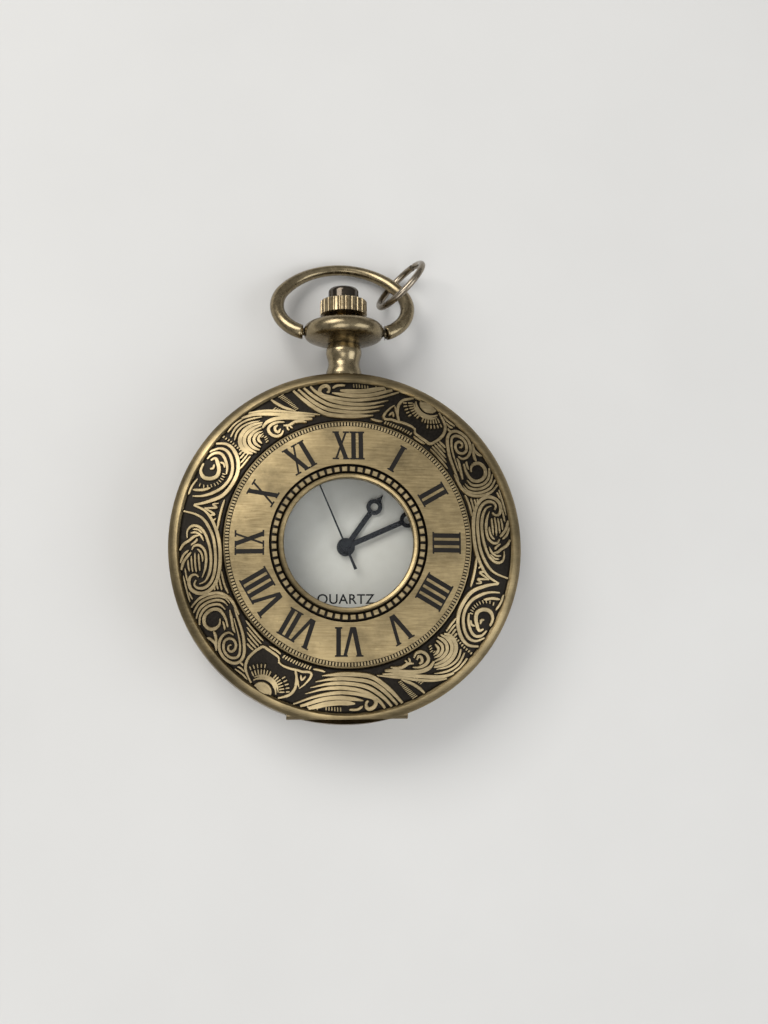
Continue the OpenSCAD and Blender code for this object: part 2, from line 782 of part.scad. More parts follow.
module winding_stem() {
    groove = lever_t + 0.1;
    color("#9a9aa0") difference() {
        on_stem(stem_y0) cylinder(r = stem_r, h = stem_y1 - stem_y0);
        on_stem(lever_y - 0.05) tube(stem_r + 1, stem_groove_r, groove);
    }
}

module sliding_pinion() {
    color("#c8b070") on_stem(pinion_y) difference() {
        toothed(14, 0.12, pinion_len);
        translate([0, 0, -1]) cylinder(r = stem_r, h = pinion_len + 2);
    }
}

module crown() {
    color("#6d6146") difference() {
        on_stem(0) revolved([
            [0, crown_hub_y], [crown_hub_r, crown_hub_y], [crown_hub_r, crown_cone_y],
            [crown_r, crown_y0], [crown_r, crown_y1 - 0.15], [crown_r - 0.15, crown_y1],
            [0, crown_y1]
        ]);
        for (i = [0:crown_ridges - 1])
            on_stem(crown_y0) rotate([0, 0, i * 360 / crown_ridges])
                translate([crown_r + 0.06, 0, 0]) cylinder(r = 0.26, h = crown_knurl + 2);
        on_stem(crown_hub_y - 1) cylinder(r = stem_r, h = stem_y1 - crown_hub_y + 1);
    }
}

module crown_cap() {
    edge = 0.6;
    color("#4a4438") on_stem(crown_y1) intersection() {
        cylinder(r = cap_r, h = cap_h);
        union() {
            translate([0, 0, cap_h - edge]) rotate_extrude() {
                translate([cap_r - edge, 0]) circle(r = edge);
                translate([0, -edge]) square([cap_r - edge, 2 * edge]);
            }
            cylinder(r = cap_r, h = cap_h - edge);
        }
    }
}

// Middle line of half the bow, from its end at the ball to its top
function bow_line(side) = concat(
    [for (i = [0:14]) let (a = bow_end_a + (bow_join_a - bow_end_a) * i / 14)
        [side * (bow_side_x + bow_side_r * cos(a)), bow_wide_at + bow_side_r * sin(a)]],
    [for (i = [1:10]) let (a = bow_join_a + (90 - bow_join_a) * i / 10)
        [side * bow_top_arc_r * cos(a), bow_top_v + bow_top_arc_r * sin(a)]]);

function bow_wire(v) = bow_end_r + (bow_top_r - bow_end_r)
    * pow(min(1, max(0, (v - bow_wide_at) / (bow_reach - bow_wide_at))), 1.5);

// A point of the bow's plane, in the watch's own frame
function bow_point(p) = [p[0], pivot_y + p[1] * cos(bow_lie), stem_z - p[1] * sin(bow_lie)];

module bow() {
    right = bow_line(1);
    left = bow_line(-1);
    n = len(right);
    line = concat(right, [for (i = [n - 2:-1:0]) left[i]]);
    color("#7d7050") {
        difference() {
            swept([for (p = line) bow_point(p)], [for (p = line) bow_wire(p[1])], 16);
            translate([-bow_end_x, pivot_y - 3, stem_z - 3]) cube([2 * bow_end_x, 6, 6]);
        }
        for (side = [-1, 1])
            translate([side * (bow_end_x + 0.5 - pivot_depth / 2), 0, 0])
                rod_x(pivot_r, pivot_depth + 0.3, pivot_y, stem_z);
    }
}

module jump_ring() {
    color("#b9bcc0") translate(jump_centre) rotate([0, 0, jump_turn]) rotate([0, -jump_lean, 0])
        rotate([0, 0, jump_split_at + jump_split / 2])
            rotate_extrude(angle = 360 - jump_split) translate([jump_r, 0]) circle(r = jump_wire_r);
}

module cover_shell() {
    revolved(concat(
        [[cover_r - 0.1, cover_z], [cover_r, cover_z + 0.5]],
        bowed([cover_r, cover_z + 0.6], [cover_recess_r + 0.3, recess_out_z + 0.25], -0.12, 6),
        bowed([cover_recess_r, recess_out_z], [plate_r + 0.1, recess_in_z], -0.12, 8),
        [[plate_r, plate_edge_z - 0.1], [plate_r - 0.15, plate_edge_z],
            [plate_r - 0.17, plate_edge_z - coin_depth],
            [plate_r - 0.2 - coin_w, plate_edge_z - coin_depth + 0.03],
            [plate_r - 0.22 - coin_w, plate_edge_z + 0.03]],
        bowed([plate_r - 0.23 - coin_w, plate_edge_z + 0.03], [groove_out_r, plate_z], -0.04, 8),
        [[groove_out_r, groove_z], [groove_in_r, groove_z], [groove_in_r - 0.08, plate_z + 0.25],
            [groove_in_r - 0.25, plate_z + 0.38], [window_r + 0.1, plate_z + 0.3],
            [window_r, plate_z + 0.15], [window_r, window_seat_z],
            [window_seat_r, window_seat_z], [window_seat_r, retainer_z0],
            [boss_r, retainer_z0], [boss_r, plate_z - cover_wall - 0.1],
            [plate_r - 0.8, plate_edge_z - cover_wall - 0.1],
            [plate_r - 0.2, recess_in_z - cover_wall]],
        bowed([plate_r, recess_in_z - cover_wall - 0.1],
            [cover_recess_r - 0.5, recess_out_z - cover_wall + 0.1], 0.12, 8),
        [[cover_inner_r, cover_z]]
    ));
}

module front_cover() {
    color("#b79a62") {
        difference() {
            union() {
                difference() {
                    cover_shell();
                    translate([-hinge_len / 2, cover_trim_y - 5, 0])
                        cube([hinge_len, 5, plate_z]);
                    rod_x(scoop_in_r, hinge_len + 0.1, hinge_y, hinge_z);
                }
                rod_x(knuckle_r, knuckle_len, hinge_y, hinge_z);
                translate([-knuckle_len / 2, hinge_y - 0.35, hinge_z])
                    cube([knuckle_len, 0.7, 1.25]);
            }
            rod_x(hinge_pin_r + run_gap, knuckle_len + 1, hinge_y, hinge_z);
        }
        translate([-lug_half_x, lug_y0, lug_z0])
            cube([2 * lug_half_x, lug_t, cover_z - lug_z0 + 0.7]);
        translate([-lug_half_x, lug_y0 - lug_nose_reach, lug_z0])
            cube([2 * lug_half_x, lug_nose_reach + 0.1, 0.3]);
    }
}

module window_glass() {
    edge_r = window_seat_r - seat_gap;
    clear_r = window_r - seat_gap;
    shoulder_z = window_seat_z + 0.1;
    dome = 0.35;
    color("#cfe0ee", 0.35) revolved(concat(
        [[0, window_z0], [edge_r, window_z0], [edge_r, window_seat_z], [clear_r, window_seat_z]],
        [for (i = [0:12]) let (r = clear_r * (1 - i / 12))
            [r, shoulder_z + dome * (1 - pow(r / clear_r, 2))]]
    ));
}

module window_retainer() {
    color("#b79a62") translate([0, 0, retainer_z0])
        tube(window_seat_r - seat_gap, window_r + 0.15, retainer_h);
}

module hour_wheel() {
    wheel_z = motion_z + 0.5;
    color("#c8b070") difference() {
        union() {
            translate([0, 0, wheel_z]) rotate([0, 0, minute_dir])
                toothed(hour_teeth, hour_module, wheel_t);
            translate([0, 0, wheel_z]) cylinder(r = hour_pipe_r, h = hour_z + hand_t - wheel_z);
        }
        translate([0, 0, wheel_z - 1]) cylinder(r = hour_in_r, h = 5);
    }
}

// Flat hand that points along +Y: a hub, a bar, an open ring and a pointed tip
module breguet_hand(length, ring_at, bore) {
    ring_r = hand_ring_d / 2;
    difference() {
        linear_extrude(hand_t) {
            circle(r = hub_r);
            translate([-hand_bar_w / 2, 0]) square([hand_bar_w, ring_at - ring_r + 0.1]);
            difference() {
                translate([0, ring_at]) circle(r = ring_r);
                translate([0, ring_at]) circle(r = ring_r * 0.48);
            }
            polygon([[-0.36, ring_at + ring_r - 0.12], [0.36, ring_at + ring_r - 0.12],
                [0.12, ring_at + ring_r + 0.5], [0, length], [-0.12, ring_at + ring_r + 0.5]]);
        }
        translate([0, 0, -1]) cylinder(r = bore, h = 3);
    }
}

module hour_hand() {
    color("#101012") translate([0, 0, hour_z]) rotate([0, 0, -hour_at])
        breguet_hand(hour_len, hour_len - 2.05, hour_pipe_r);
}

module centre_wheel() {
    wheel_z = plate_z0 - 0.35;
    color("#c8b070") difference() {
        union() {
            translate([0, 0, wheel_z]) rotate([0, 0, third_dir])
                toothed(centre_teeth, centre_module, wheel_t);
            translate([0, 0, wheel_z]) cylinder(r = cannon_r, h = minute_z + hand_t - wheel_z);
            translate([0, 0, motion_z + 0.05]) rotate([0, 0, minute_dir])
                toothed(cannon_teeth, cannon_module, 0.35, 0.7, 1.3);
        }
        translate([0, 0, wheel_z - 1]) cylinder(r = cannon_in_r, h = 6);
    }
}

module minute_hand() {
    color("#101012") translate([0, 0, minute_z]) rotate([0, 0, -minute_at])
        breguet_hand(minute_len, minute_len - 4.1, cannon_r);
}

module seconds_wheel() {
    wheel_z = bridge_z + bridge_t + 0.15;
    color("#c8b070") {
        translate([0, 0, bridge_z + 0.05]) cylinder(r = arbor_r, h = second_z + hand_t - bridge_z - 0.05);
        translate([0, 0, wheel_z]) rotate([0, 0, fifth_dir])
            toothed(seconds_teeth, fifth_module, wheel_t);
        translate([0, 0, wheel_z + wheel_t]) rotate([0, 0, third_dir])
            toothed(seconds_leaves, third_module, 0.45, 0.7, 1.3);
    }
}

module second_hand() {
    cap_t = 0.14;
    color("#101012") translate([0, 0, second_z]) rotate([0, 0, -second_at]) difference() {
        union() {
            linear_extrude(hand_t) polygon([[-0.2, -second_tail], [0.2, -second_tail], [0.12, 0],
                [0.07, second_len], [-0.07, second_len], [-0.12, 0]]);
            cylinder(r = 0.75, h = hand_t + cap_t);
        }
        translate([0, 0, -1]) cylinder(r = arbor_r, h = 1 + hand_t);
    }
}

module third_wheel() {
    wheel_z = bridge_z + bridge_t + 0.42;
    color("#c8b070") translate([third_at[0], third_at[1], 0]) {
        translate([0, 0, bridge_z + 0.05]) cylinder(r = arbor_r, h = plate_z0 + 0.35 - bridge_z);
        translate([0, 0, wheel_z]) rotate([0, 0, third_dir + 180 + 180 / third_teeth])
            toothed(third_teeth, third_module, wheel_t);
        translate([0, 0, wheel_z + wheel_t]) rotate([0, 0, third_dir + 180 + 180 / third_leaves])
            toothed(third_leaves, centre_module, plate_z0 - 0.1 - wheel_z - wheel_t, 0.7, 1.3);
    }
}

module fifth_wheel() {
    pinion_z = bridge_z + bridge_t + 0.08;
    wheel_z = bridge_z + bridge_t + 0.7;
    color("#c8b070") translate([fifth_at[0], fifth_at[1], 0]) {
        translate([0, 0, bridge_z + 0.05]) cylinder(r = arbor_r, h = plate_z0 + 0.35 - bridge_z);
        translate([0, 0, pinion_z]) rotate([0, 0, fifth_dir + 180 + 180 / fifth_leaves])
            toothed(fifth_leaves, fifth_module, 0.3, 0.7, 1.3);
        translate([0, 0, wheel_z]) rotate([0, 0, rotor_dir])
            toothed(fifth_teeth, rotor_module, wheel_t);
    }
}

module rotor_magnet() {
    color("#55585e") translate([rotor_at[0], rotor_at[1], stator_z - 0.07]) difference() {
        cylinder(r = magnet_r, h = magnet_h);
        translate([0, 0, -1]) cylinder(r = arbor_r, h = 3);
    }
}

module rotor_pinion() {
    color("#c8b070") translate([rotor_at[0], rotor_at[1], 0]) {
        translate([0, 0, bridge_z + 0.05]) cylinder(r = arbor_r, h = plate_z0 + 0.35 - bridge_z);
        translate([0, 0, bridge_z + bridge_t + 0.62])
            rotate([0, 0, rotor_dir + 180 + 180 / rotor_teeth])
                toothed(rotor_teeth, rotor_module, 0.35, 0.7, 1.1);
    }
}

module minute_wheel() {
    wheel_z = motion_z + 0.15;
    color("#c8b070") translate([minute_at_xy[0], minute_at_xy[1], wheel_z]) difference() {
        union() {
            rotate([0, 0, minute_dir + 180 + 180 / minute_teeth])
                toothed(minute_teeth, cannon_module, wheel_t);
            rotate([0, 0, minute_dir + 180 + 180 / minute_leaves])
                toothed(minute_leaves, hour_module, 0.55, 0.7, 1.3);
        }
        translate([0, 0, -1]) cylinder(r = arbor_r + 0.05 + run_gap, h = 3);
    }
}

case_middle();
case_back();
back_gasket();
hinge_pin();
pendant();
bezel();
dial_glass();
dial();
movement_holder();
main_plate();
train_bridge();
movement_screws();
stator();
coil_core();
coil_winding();
circuit_board();
quartz_oscillator();
timing_chip();
battery();
battery_clamp();
catch_spring();
press_sleeve();
release_spring();
latch_catch();
setting_lever();
winding_stem();
sliding_pinion();
crown();
crown_cap();
bow();
jump_ring();
front_cover();
window_glass();
window_retainer();
hour_wheel();
hour_hand();
centre_wheel();
minute_hand();
seconds_wheel();
second_hand();
third_wheel();
fifth_wheel();
rotor_magnet();
rotor_pinion();
minute_wheel();
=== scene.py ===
import math
import random

import bpy
from mathutils import Matrix, Vector


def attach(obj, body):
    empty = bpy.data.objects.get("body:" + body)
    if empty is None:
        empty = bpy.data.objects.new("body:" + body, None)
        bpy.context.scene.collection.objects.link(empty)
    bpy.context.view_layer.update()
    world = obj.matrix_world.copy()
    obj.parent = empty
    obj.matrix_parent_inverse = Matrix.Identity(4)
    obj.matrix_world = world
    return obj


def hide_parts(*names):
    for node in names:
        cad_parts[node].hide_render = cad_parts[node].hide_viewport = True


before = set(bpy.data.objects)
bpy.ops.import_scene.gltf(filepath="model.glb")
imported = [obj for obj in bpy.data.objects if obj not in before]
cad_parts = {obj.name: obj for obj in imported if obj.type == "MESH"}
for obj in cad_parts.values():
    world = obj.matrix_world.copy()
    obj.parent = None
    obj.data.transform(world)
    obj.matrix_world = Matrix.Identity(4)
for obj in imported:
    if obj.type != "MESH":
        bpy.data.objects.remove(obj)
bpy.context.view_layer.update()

# Lengths below are written in millimetres and turned into metres where a mesh is made.
# Angles on the dial and the cover are degrees clockwise from 12 o'clock.
MM = 0.001


# ---------------------------------------------------------------- camera and studio

def make_camera():
    data = bpy.data.cameras.new("camera")
    data.sensor_fit = "HORIZONTAL"
    data.sensor_width = 36
    data.lens = 62.5
    data.clip_start = 0.01
    data.clip_end = 10
    cam = bpy.data.objects.new("camera", data)
    right = Vector((0.99478, -0.00828, 0.10168))
    up = Vector((-0.00573, 0.99059, 0.13675))
    back = Vector((-0.10186, -0.13662, 0.98537))
    place = Vector((-12.79, -19.27, 180.73)) * MM
    turn = Matrix((right, up, back)).transposed().to_4x4()
    cam.matrix_world = Matrix.Translation(place) @ turn
    bpy.context.scene.collection.objects.link(cam)
    bpy.context.scene.camera = cam


def area_light(name, place, size, power, colour=(1, 1, 1)):
    data = bpy.data.lights.new(name, "AREA")
    data.shape = "RECTANGLE"
    data.size, data.size_y = size
    data.energy = power
    data.color = colour
    obj = bpy.data.objects.new(name, data)
    obj.location = place
    obj.rotation_euler = (-Vector(place)).to_track_quat("-Z", "Y").to_euler()
    bpy.context.scene.collection.objects.link(obj)


# ---------------------------------------------------------------- material nodes

class Nodes:
    """A short way to write a node material."""

    def __init__(self, name):
        self.mat = bpy.data.materials.new(name)
        self.mat.use_nodes = True
        self.tree = self.mat.node_tree
        self.bsdf = self.tree.nodes["Principled BSDF"]
        self.out = self.tree.nodes["Material Output"]
        self.coords = self.add("ShaderNodeTexCoord").outputs["Object"]

    def add(self, kind, **values):
        node = self.tree.nodes.new(kind)
        for key, value in values.items():
            setattr(node, key, value)
        return node

    def link(self, source, target):
        self.tree.links.new(source, target)

    def scaled(self, scale):
        node = self.add("ShaderNodeMapping")
        node.inputs["Scale"].default_value = scale
        self.link(self.coords, node.inputs["Vector"])
        return node.outputs["Vector"]

    def noise(self, scale, detail=6.0, rough=0.6, stretch=None):
        node = self.add("ShaderNodeTexNoise")
        node.inputs["Scale"].default_value = scale
        node.inputs["Detail"].default_value = detail
        node.inputs["Roughness"].default_value = rough
        self.link(self.scaled(stretch or (1, 1, 1)), node.inputs["Vector"])
        return node.outputs["Fac"]

    def separate(self):
        node = self.add("ShaderNodeSeparateXYZ")
        self.link(self.coords, node.inputs["Vector"])
        return node.outputs

    def remap(self, value, low, high, to_low=0.0, to_high=1.0):
        node = self.add("ShaderNodeMapRange")
        for key, v in (("From Min", low), ("From Max", high), ("To Min", to_low), ("To Max", to_high)):
            node.inputs[key].default_value = v
        self.link(value, node.inputs["Value"])
        return node.outputs["Result"]

    def math(self, operation, a, b=None):
        node = self.add("ShaderNodeMath", operation=operation)
        for socket, v in zip(node.inputs, (a, b)):
            if v is None:
                continue
            if isinstance(v, (int, float)):
                socket.default_value = v
            else:
                self.link(v, socket)
        return node.outputs[0]

    def mix(self, factor, a, b):
        node = self.add("ShaderNodeMix", data_type="RGBA")
        self.link(factor, node.inputs["Factor"])
        for socket, v in ((node.inputs["A"], a), (node.inputs["B"], b)):
            if isinstance(v, tuple):
                socket.default_value = (*v, 1)
            else:
                self.link(v, socket)
        return node.outputs["Result"]

    def crevices(self, reach):
        # Ambient occlusion of the surface; colour darkened by it is painted shade.
        node = self.add("ShaderNodeAmbientOcclusion")
        node.inputs["Distance"].default_value = reach
        node.samples = 8
        return node.outputs["AO"]

    def bump(self, height, strength, distance):
        node = self.add("ShaderNodeBump")
        node.inputs["Strength"].default_value = strength
        node.inputs["Distance"].default_value = distance
        self.link(height, node.inputs["Height"])
        self.link(node.outputs["Normal"], self.bsdf.inputs["Normal"])


def antique_metal(name, bright, worn, patina, rough, stretch=(1, 1, 1), grain=2600, depth=0.00001,
                  blotches=0.5, crevice=0.0005, left_patina_and_shade=0.0, rim=None):
    """Brushed or satin metal with blotches of patina, and patina colour in its corners and grooves that is partly
    painted shade.

    aged darkens it towards 9 o'clock with patina blotches that are partly painted shade, and rim past a radius, both in
    the piece's own frame."""
    n = Nodes(name)
    brush = n.noise(grain, 5, 0.65, stretch)
    blotch = n.noise(210, 6, 0.62)
    speck = n.noise(2100, 3, 0.7)
    base = n.mix(n.remap(brush, 0.3, 0.72), worn, bright)
    stained = n.mix(n.remap(blotch, 0.44, 0.74, 0, blotches), base, patina)
    if left_patina_and_shade:
        # Painted shade, partly real patina: blotches of patina colour are mixed in towards 9 o'clock, where x falls
        # below 3 mm.
        x = n.separate()[0]
        side = n.math("MULTIPLY", n.remap(x, 0.003, -0.016), n.remap(n.noise(130, 5, 0.55), 0.42, 0.62))
        stained = n.mix(n.math("MULTIPLY", side, left_patina_and_shade), stained, patina)
    if rim:
        x, y, _ = n.separate()
        r = n.math("SQRT", n.math("ADD", n.math("MULTIPLY", x, x), n.math("MULTIPLY", y, y)))
        stained = n.mix(n.remap(r, rim, rim + 0.0006, 0, 0.55), stained, patina)
    flecked = n.mix(n.remap(speck, 0.64, 0.78, 0, 0.55), stained, patina)
    # Painted shade, partly real patina: the patina colour is mixed in where ambient occlusion finds corners, grooves
    # and recesses.
    patina_and_corner_shade = n.mix(n.remap(n.crevices(crevice), 0.35, 0.85, 0.85, 0), flecked, patina)
    n.link(patina_and_corner_shade, n.bsdf.inputs["Base Color"])
    n.bsdf.inputs["Metallic"].default_value = 1
    n.link(n.remap(n.math("ADD", brush, blotch), 0.7, 1.3, rough - 0.07, rough + 0.12),
           n.bsdf.inputs["Roughness"])
    n.bump(brush, 0.5, depth)
    return n.mat


def plain_metal(name, bright, dark, rough, grain=3000, stretch=(1, 1, 1), depth=0.000006):
    """Clean machined metal with a fine grain."""
    n = Nodes(name)
    fine = n.noise(grain, 4, 0.6, stretch)
    wide = n.noise(300, 4, 0.5)
    n.link(n.mix(n.remap(n.math("ADD", fine, wide), 0.7, 1.3), dark, bright), n.bsdf.inputs["Base Color"])
    n.bsdf.inputs["Metallic"].default_value = 1
    n.link(n.remap(fine, 0.3, 0.7, rough - 0.05, rough + 0.08), n.bsdf.inputs["Roughness"])
    n.bump(fine, 0.4, depth)
    return n.mat


def coated(name, colour, second, rough, grain=1500, depth=0.000008, coat=0.0, metallic=0.0,
           specular=0.5):
    """Paint, lacquer, enamel, rubber or plastic, with fine mottling."""
    n = Nodes(name)
    fine = n.noise(grain, 5, 0.6)
    wide = n.noise(180, 4, 0.6)
    n.link(n.mix(n.remap(n.math("ADD", fine, wide), 0.7, 1.35), colour, second), n.bsdf.inputs["Base Color"])
    n.link(n.remap(fine, 0.3, 0.7, max(0.02, rough - 0.05), rough + 0.06), n.bsdf.inputs["Roughness"])
    n.bsdf.inputs["Metallic"].default_value = metallic
    n.bsdf.inputs["Coat Weight"].default_value = coat
    n.bsdf.inputs["Coat Roughness"].default_value = 0.08
    n.bsdf.inputs["Specular IOR Level"].default_value = specular
    n.bump(fine, 0.4, depth)
    return n.mat


def clear_glass(name):
    """Thin clear glass: it lets light through, and only its outer face mirrors, more at a glancing angle."""
    n = Nodes(name)
    n.bsdf.inputs["Metallic"].default_value = 1
    n.bsdf.inputs["Base Color"].default_value = (0.95, 0.97, 1, 1)
    n.link(n.remap(n.noise(500, 3, 0.5), 0.3, 0.7, 0.02, 0.05), n.bsdf.inputs["Roughness"])
    through = n.add("ShaderNodeBsdfTransparent")
    through.inputs["Color"].default_value = (0.965, 0.975, 0.985, 1)
    fresnel = n.add("ShaderNodeFresnel")
    fresnel.inputs["IOR"].default_value = 1.25
    blend = n.add("ShaderNodeMixShader")
    outer = n.math("SUBTRACT", 1, n.add("ShaderNodeNewGeometry").outputs["Backfacing"])
    n.link(n.math("MULTIPLY", fresnel.outputs["Fac"], outer), blend.inputs["Fac"])
    n.link(through.outputs["BSDF"], blend.inputs[1])
    n.link(n.bsdf.outputs["BSDF"], blend.inputs[2])
    n.link(blend.outputs["Shader"], n.out.inputs["Surface"])
    return n.mat


def wound_wire(name, bright, dark, axis_pitch):
    """Enamelled copper wire, wound round Y, with a painted highlight on each turn and painted shade between the turns.
    """
    n = Nodes(name)
    wave = n.add("ShaderNodeTexWave", bands_direction="Y")
    wave.inputs["Scale"].default_value = axis_pitch
    wave.inputs["Distortion"].default_value = 0.4
    n.link(n.coords, wave.inputs["Vector"])
    # Painted highlight and shade: the wave that raises each turn lightens its crest and darkens the groove between
    # turns.
    n.link(n.mix(wave.outputs["Fac"], dark, bright), n.bsdf.inputs["Base Color"])
    n.bsdf.inputs["Metallic"].default_value = 1
    n.link(n.remap(n.noise(2000), 0.3, 0.7, 0.25, 0.4), n.bsdf.inputs["Roughness"])
    n.bump(wave.outputs["Fac"], 0.7, 0.00003)
    return n.mat


def traced_board(name):
    """Green lacquer over faint copper tracks."""
    n = Nodes(name)
    cells = n.add("ShaderNodeTexVoronoi", distance="CHEBYCHEV", feature="DISTANCE_TO_EDGE")
    cells.inputs["Scale"].default_value = 900
    n.link(n.coords, cells.inputs["Vector"])
    track = n.remap(cells.outputs["Distance"], 0.03, 0.08)
    n.link(n.mix(track, (0.10, 0.30, 0.12), (0.02, 0.10, 0.05)), n.bsdf.inputs["Base Color"])
    n.link(n.remap(n.noise(1500), 0.3, 0.7, 0.25, 0.4), n.bsdf.inputs["Roughness"])
    n.bsdf.inputs["Coat Weight"].default_value = 0.4
    n.bump(track, 0.3, 0.00002)
    return n.mat


PATINA = (0.012, 0.010, 0.008)
BRUSHED = (60, 1, 60)

PLATE_BRASS = antique_metal("plate_brass", (0.56, 0.435, 0.235), (0.36, 0.27, 0.135), (0.10, 0.08, 0.045),
                            0.36, stretch=(0.10, 1.6, 1), grain=3200, blotches=0.75,
                            left_patina_and_shade=0.75, rim=0.0215)
RELIEF_BRASS = antique_metal("relief_brass", (0.54, 0.43, 0.25), (0.36, 0.28, 0.15), (0.05, 0.04, 0.025),
                             0.42, stretch=(0.3, 1.2, 1), grain=2500, crevice=0.0003, left_patina_and_shade=0.35)
BAND_BRONZE = antique_metal("band_bronze", (0.30, 0.235, 0.135), (0.20, 0.155, 0.085),
                            (0.035, 0.028, 0.018), 0.30, grain=1800, blotches=0.6)
BOW_BRONZE = antique_metal("bow_bronze", (0.34, 0.275, 0.17), (0.22, 0.175, 0.10),
                           (0.05, 0.04, 0.028), 0.24, grain=1500, blotches=0.45)
CROWN_BRONZE = antique_metal("crown_bronze", (0.42, 0.34, 0.21), (0.22, 0.17, 0.10),
                             (0.02, 0.016, 0.012), 0.28, grain=2200, blotches=0.4, crevice=0.0004)
BACK_BRASS = antique_metal("back_brass", (0.46, 0.35, 0.19), (0.30, 0.22, 0.11), (0.07, 0.05, 0.03),
                           0.34, stretch=(1.6, 0.12, 1), grain=2600, blotches=0.6)
DARK_GROUND = antique_metal("dark_ground", (0.035, 0.030, 0.024), (0.016, 0.014, 0.012), PATINA, 0.5,
                            grain=3000, blotches=0.4)
CAP_GLOSS = coated("cap_gloss", (0.035, 0.028, 0.02), (0.08, 0.06, 0.04), 0.12, metallic=1.0, coat=0.5)
RING_METAL = antique_metal("ring_metal", (0.36, 0.31, 0.24), (0.24, 0.2, 0.15), (0.06, 0.05, 0.04),
                           0.22, grain=1500, blotches=0.4)
INLAY_BLACK = coated("inlay_black", (0.006, 0.005, 0.004), (0.014, 0.011, 0.008), 0.6, specular=0.2)
DIAL_WHITE = coated("dial_white", (0.90, 0.83, 0.70), (0.83, 0.76, 0.63), 0.45, grain=700)
HAND_BLACK = coated("hand_black", (0.005, 0.005, 0.006), (0.010, 0.010, 0.011), 0.3, coat=0.25)
GLASS = clear_glass("watch_glass")
PLASTIC = coated("black_plastic", (0.02, 0.02, 0.02), (0.035, 0.035, 0.035), 0.5)
RUBBER = coated("gasket_rubber", (0.012, 0.012, 0.012), (0.022, 0.022, 0.022), 0.7)
MOVEMENT_BRASS = plain_metal("movement_brass", (0.72, 0.56, 0.28), (0.55, 0.42, 0.20), 0.28)
STEEL = plain_metal("steel", (0.60, 0.60, 0.62), (0.42, 0.42, 0.44), 0.26)
SCREW_STEEL = plain_metal("screw_steel", (0.52, 0.53, 0.58), (0.34, 0.35, 0.42), 0.2)
CELL_STEEL = plain_metal("cell_steel", (0.66, 0.66, 0.66), (0.5, 0.5, 0.5), 0.3, stretch=(0.1, 1.4, 1))
MAGNET = plain_metal("magnet_metal", (0.16, 0.16, 0.17), (0.09, 0.09, 0.10), 0.45)
COPPER = wound_wire("copper_wire", (0.65, 0.26, 0.11), (0.28, 0.09, 0.04), 3200)
BOARD = traced_board("board_green")
CHIP = coated("chip_black", (0.012, 0.012, 0.012), (0.02, 0.02, 0.02), 0.35)

FINISH = {
    PLATE_BRASS: ["front_cover", "bezel", "window_retainer"],
    BACK_BRASS: ["case_back"],
    BAND_BRONZE: ["case_middle", "hinge_pin"],
    BOW_BRONZE: ["pendant", "bow"],
    CROWN_BRONZE: ["crown"],
    CAP_GLOSS: ["crown_cap"],
    RING_METAL: ["jump_ring"],
    GLASS: ["dial_glass", "window_glass"],
    DIAL_WHITE: ["dial"],
    HAND_BLACK: ["hour_hand", "minute_hand", "second_hand"],
    PLASTIC: ["movement_holder"],
    RUBBER: ["back_gasket"],
    MOVEMENT_BRASS: ["main_plate", "train_bridge", "centre_wheel", "hour_wheel", "seconds_wheel",
                     "third_wheel", "fifth_wheel", "rotor_pinion", "minute_wheel", "sliding_pinion"],
    STEEL: ["stator", "coil_core", "battery_clamp", "catch_spring", "release_spring", "press_sleeve",
            "latch_catch", "setting_lever", "winding_stem", "quartz_oscillator"],
    SCREW_STEEL: ["movement_screws"],
    CELL_STEEL: ["battery"],
    MAGNET: ["rotor_magnet"],
    COPPER: ["coil_winding"],
    BOARD: ["circuit_board"],
    CHIP: ["timing_chip"],
}


def finish_nodes():
    for mat, names in FINISH.items():
        for name in names:
            obj = bpy.data.objects[name]
            obj.data.materials.clear()
            obj.data.materials.append(mat)


# ---------------------------------------------------------------- mesh helpers

def piece(name, verts, faces, mat, body, smooth=True):
    """A mesh piece from points in millimetres, riding on a body."""
    mesh = bpy.data.meshes.new(name)
    mesh.from_pydata([(x * MM, y * MM, z * MM) for x, y, z in verts], [], faces)
    mesh.validate()
    mesh.materials.append(mat)
    mesh.shade_smooth() if smooth else mesh.shade_flat()
    obj = bpy.data.objects.new(name, mesh)
    bpy.context.scene.collection.objects.link(obj)
    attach(obj, body)
    return obj


class Shape:
    """Collects solids in one mesh."""

    def __init__(self):
        self.verts, self.faces = [], []

    def add(self, verts, faces):
        base = len(self.verts)
        self.verts += verts
        self.faces += [tuple(base + i for i in f) for f in faces]

    def loft(self, rings, closed=False):
        """Closed solid through rings of equally many points."""
        n = len(rings[0])
        verts = [p for ring in rings for p in ring]
        faces = []
        last = len(rings) if closed else len(rings) - 1
        for i in range(last):
            a, b = i * n, (i + 1) % len(rings) * n
            faces += [(a + k, a + (k + 1) % n, b + (k + 1) % n, b + k) for k in range(n)]
        if not closed:
            faces += [tuple(range(n))[::-1], tuple(range((len(rings) - 1) * n, len(rings) * n))]
        self.add(verts, faces)

    def lathe(self, profile, steps=180):
        """Closed profile of (r, z) points turned about Z."""
        rings = []
        for i in range(steps):
            a = 2 * math.pi * i / steps
            rings.append([(r * math.cos(a), r * math.sin(a), z) for r, z in profile])
        self.loft(rings, closed=True)


def on_dial(angle, r, z):
    a = math.radians(angle)
    return Vector((r * math.sin(a), r * math.cos(a), z))


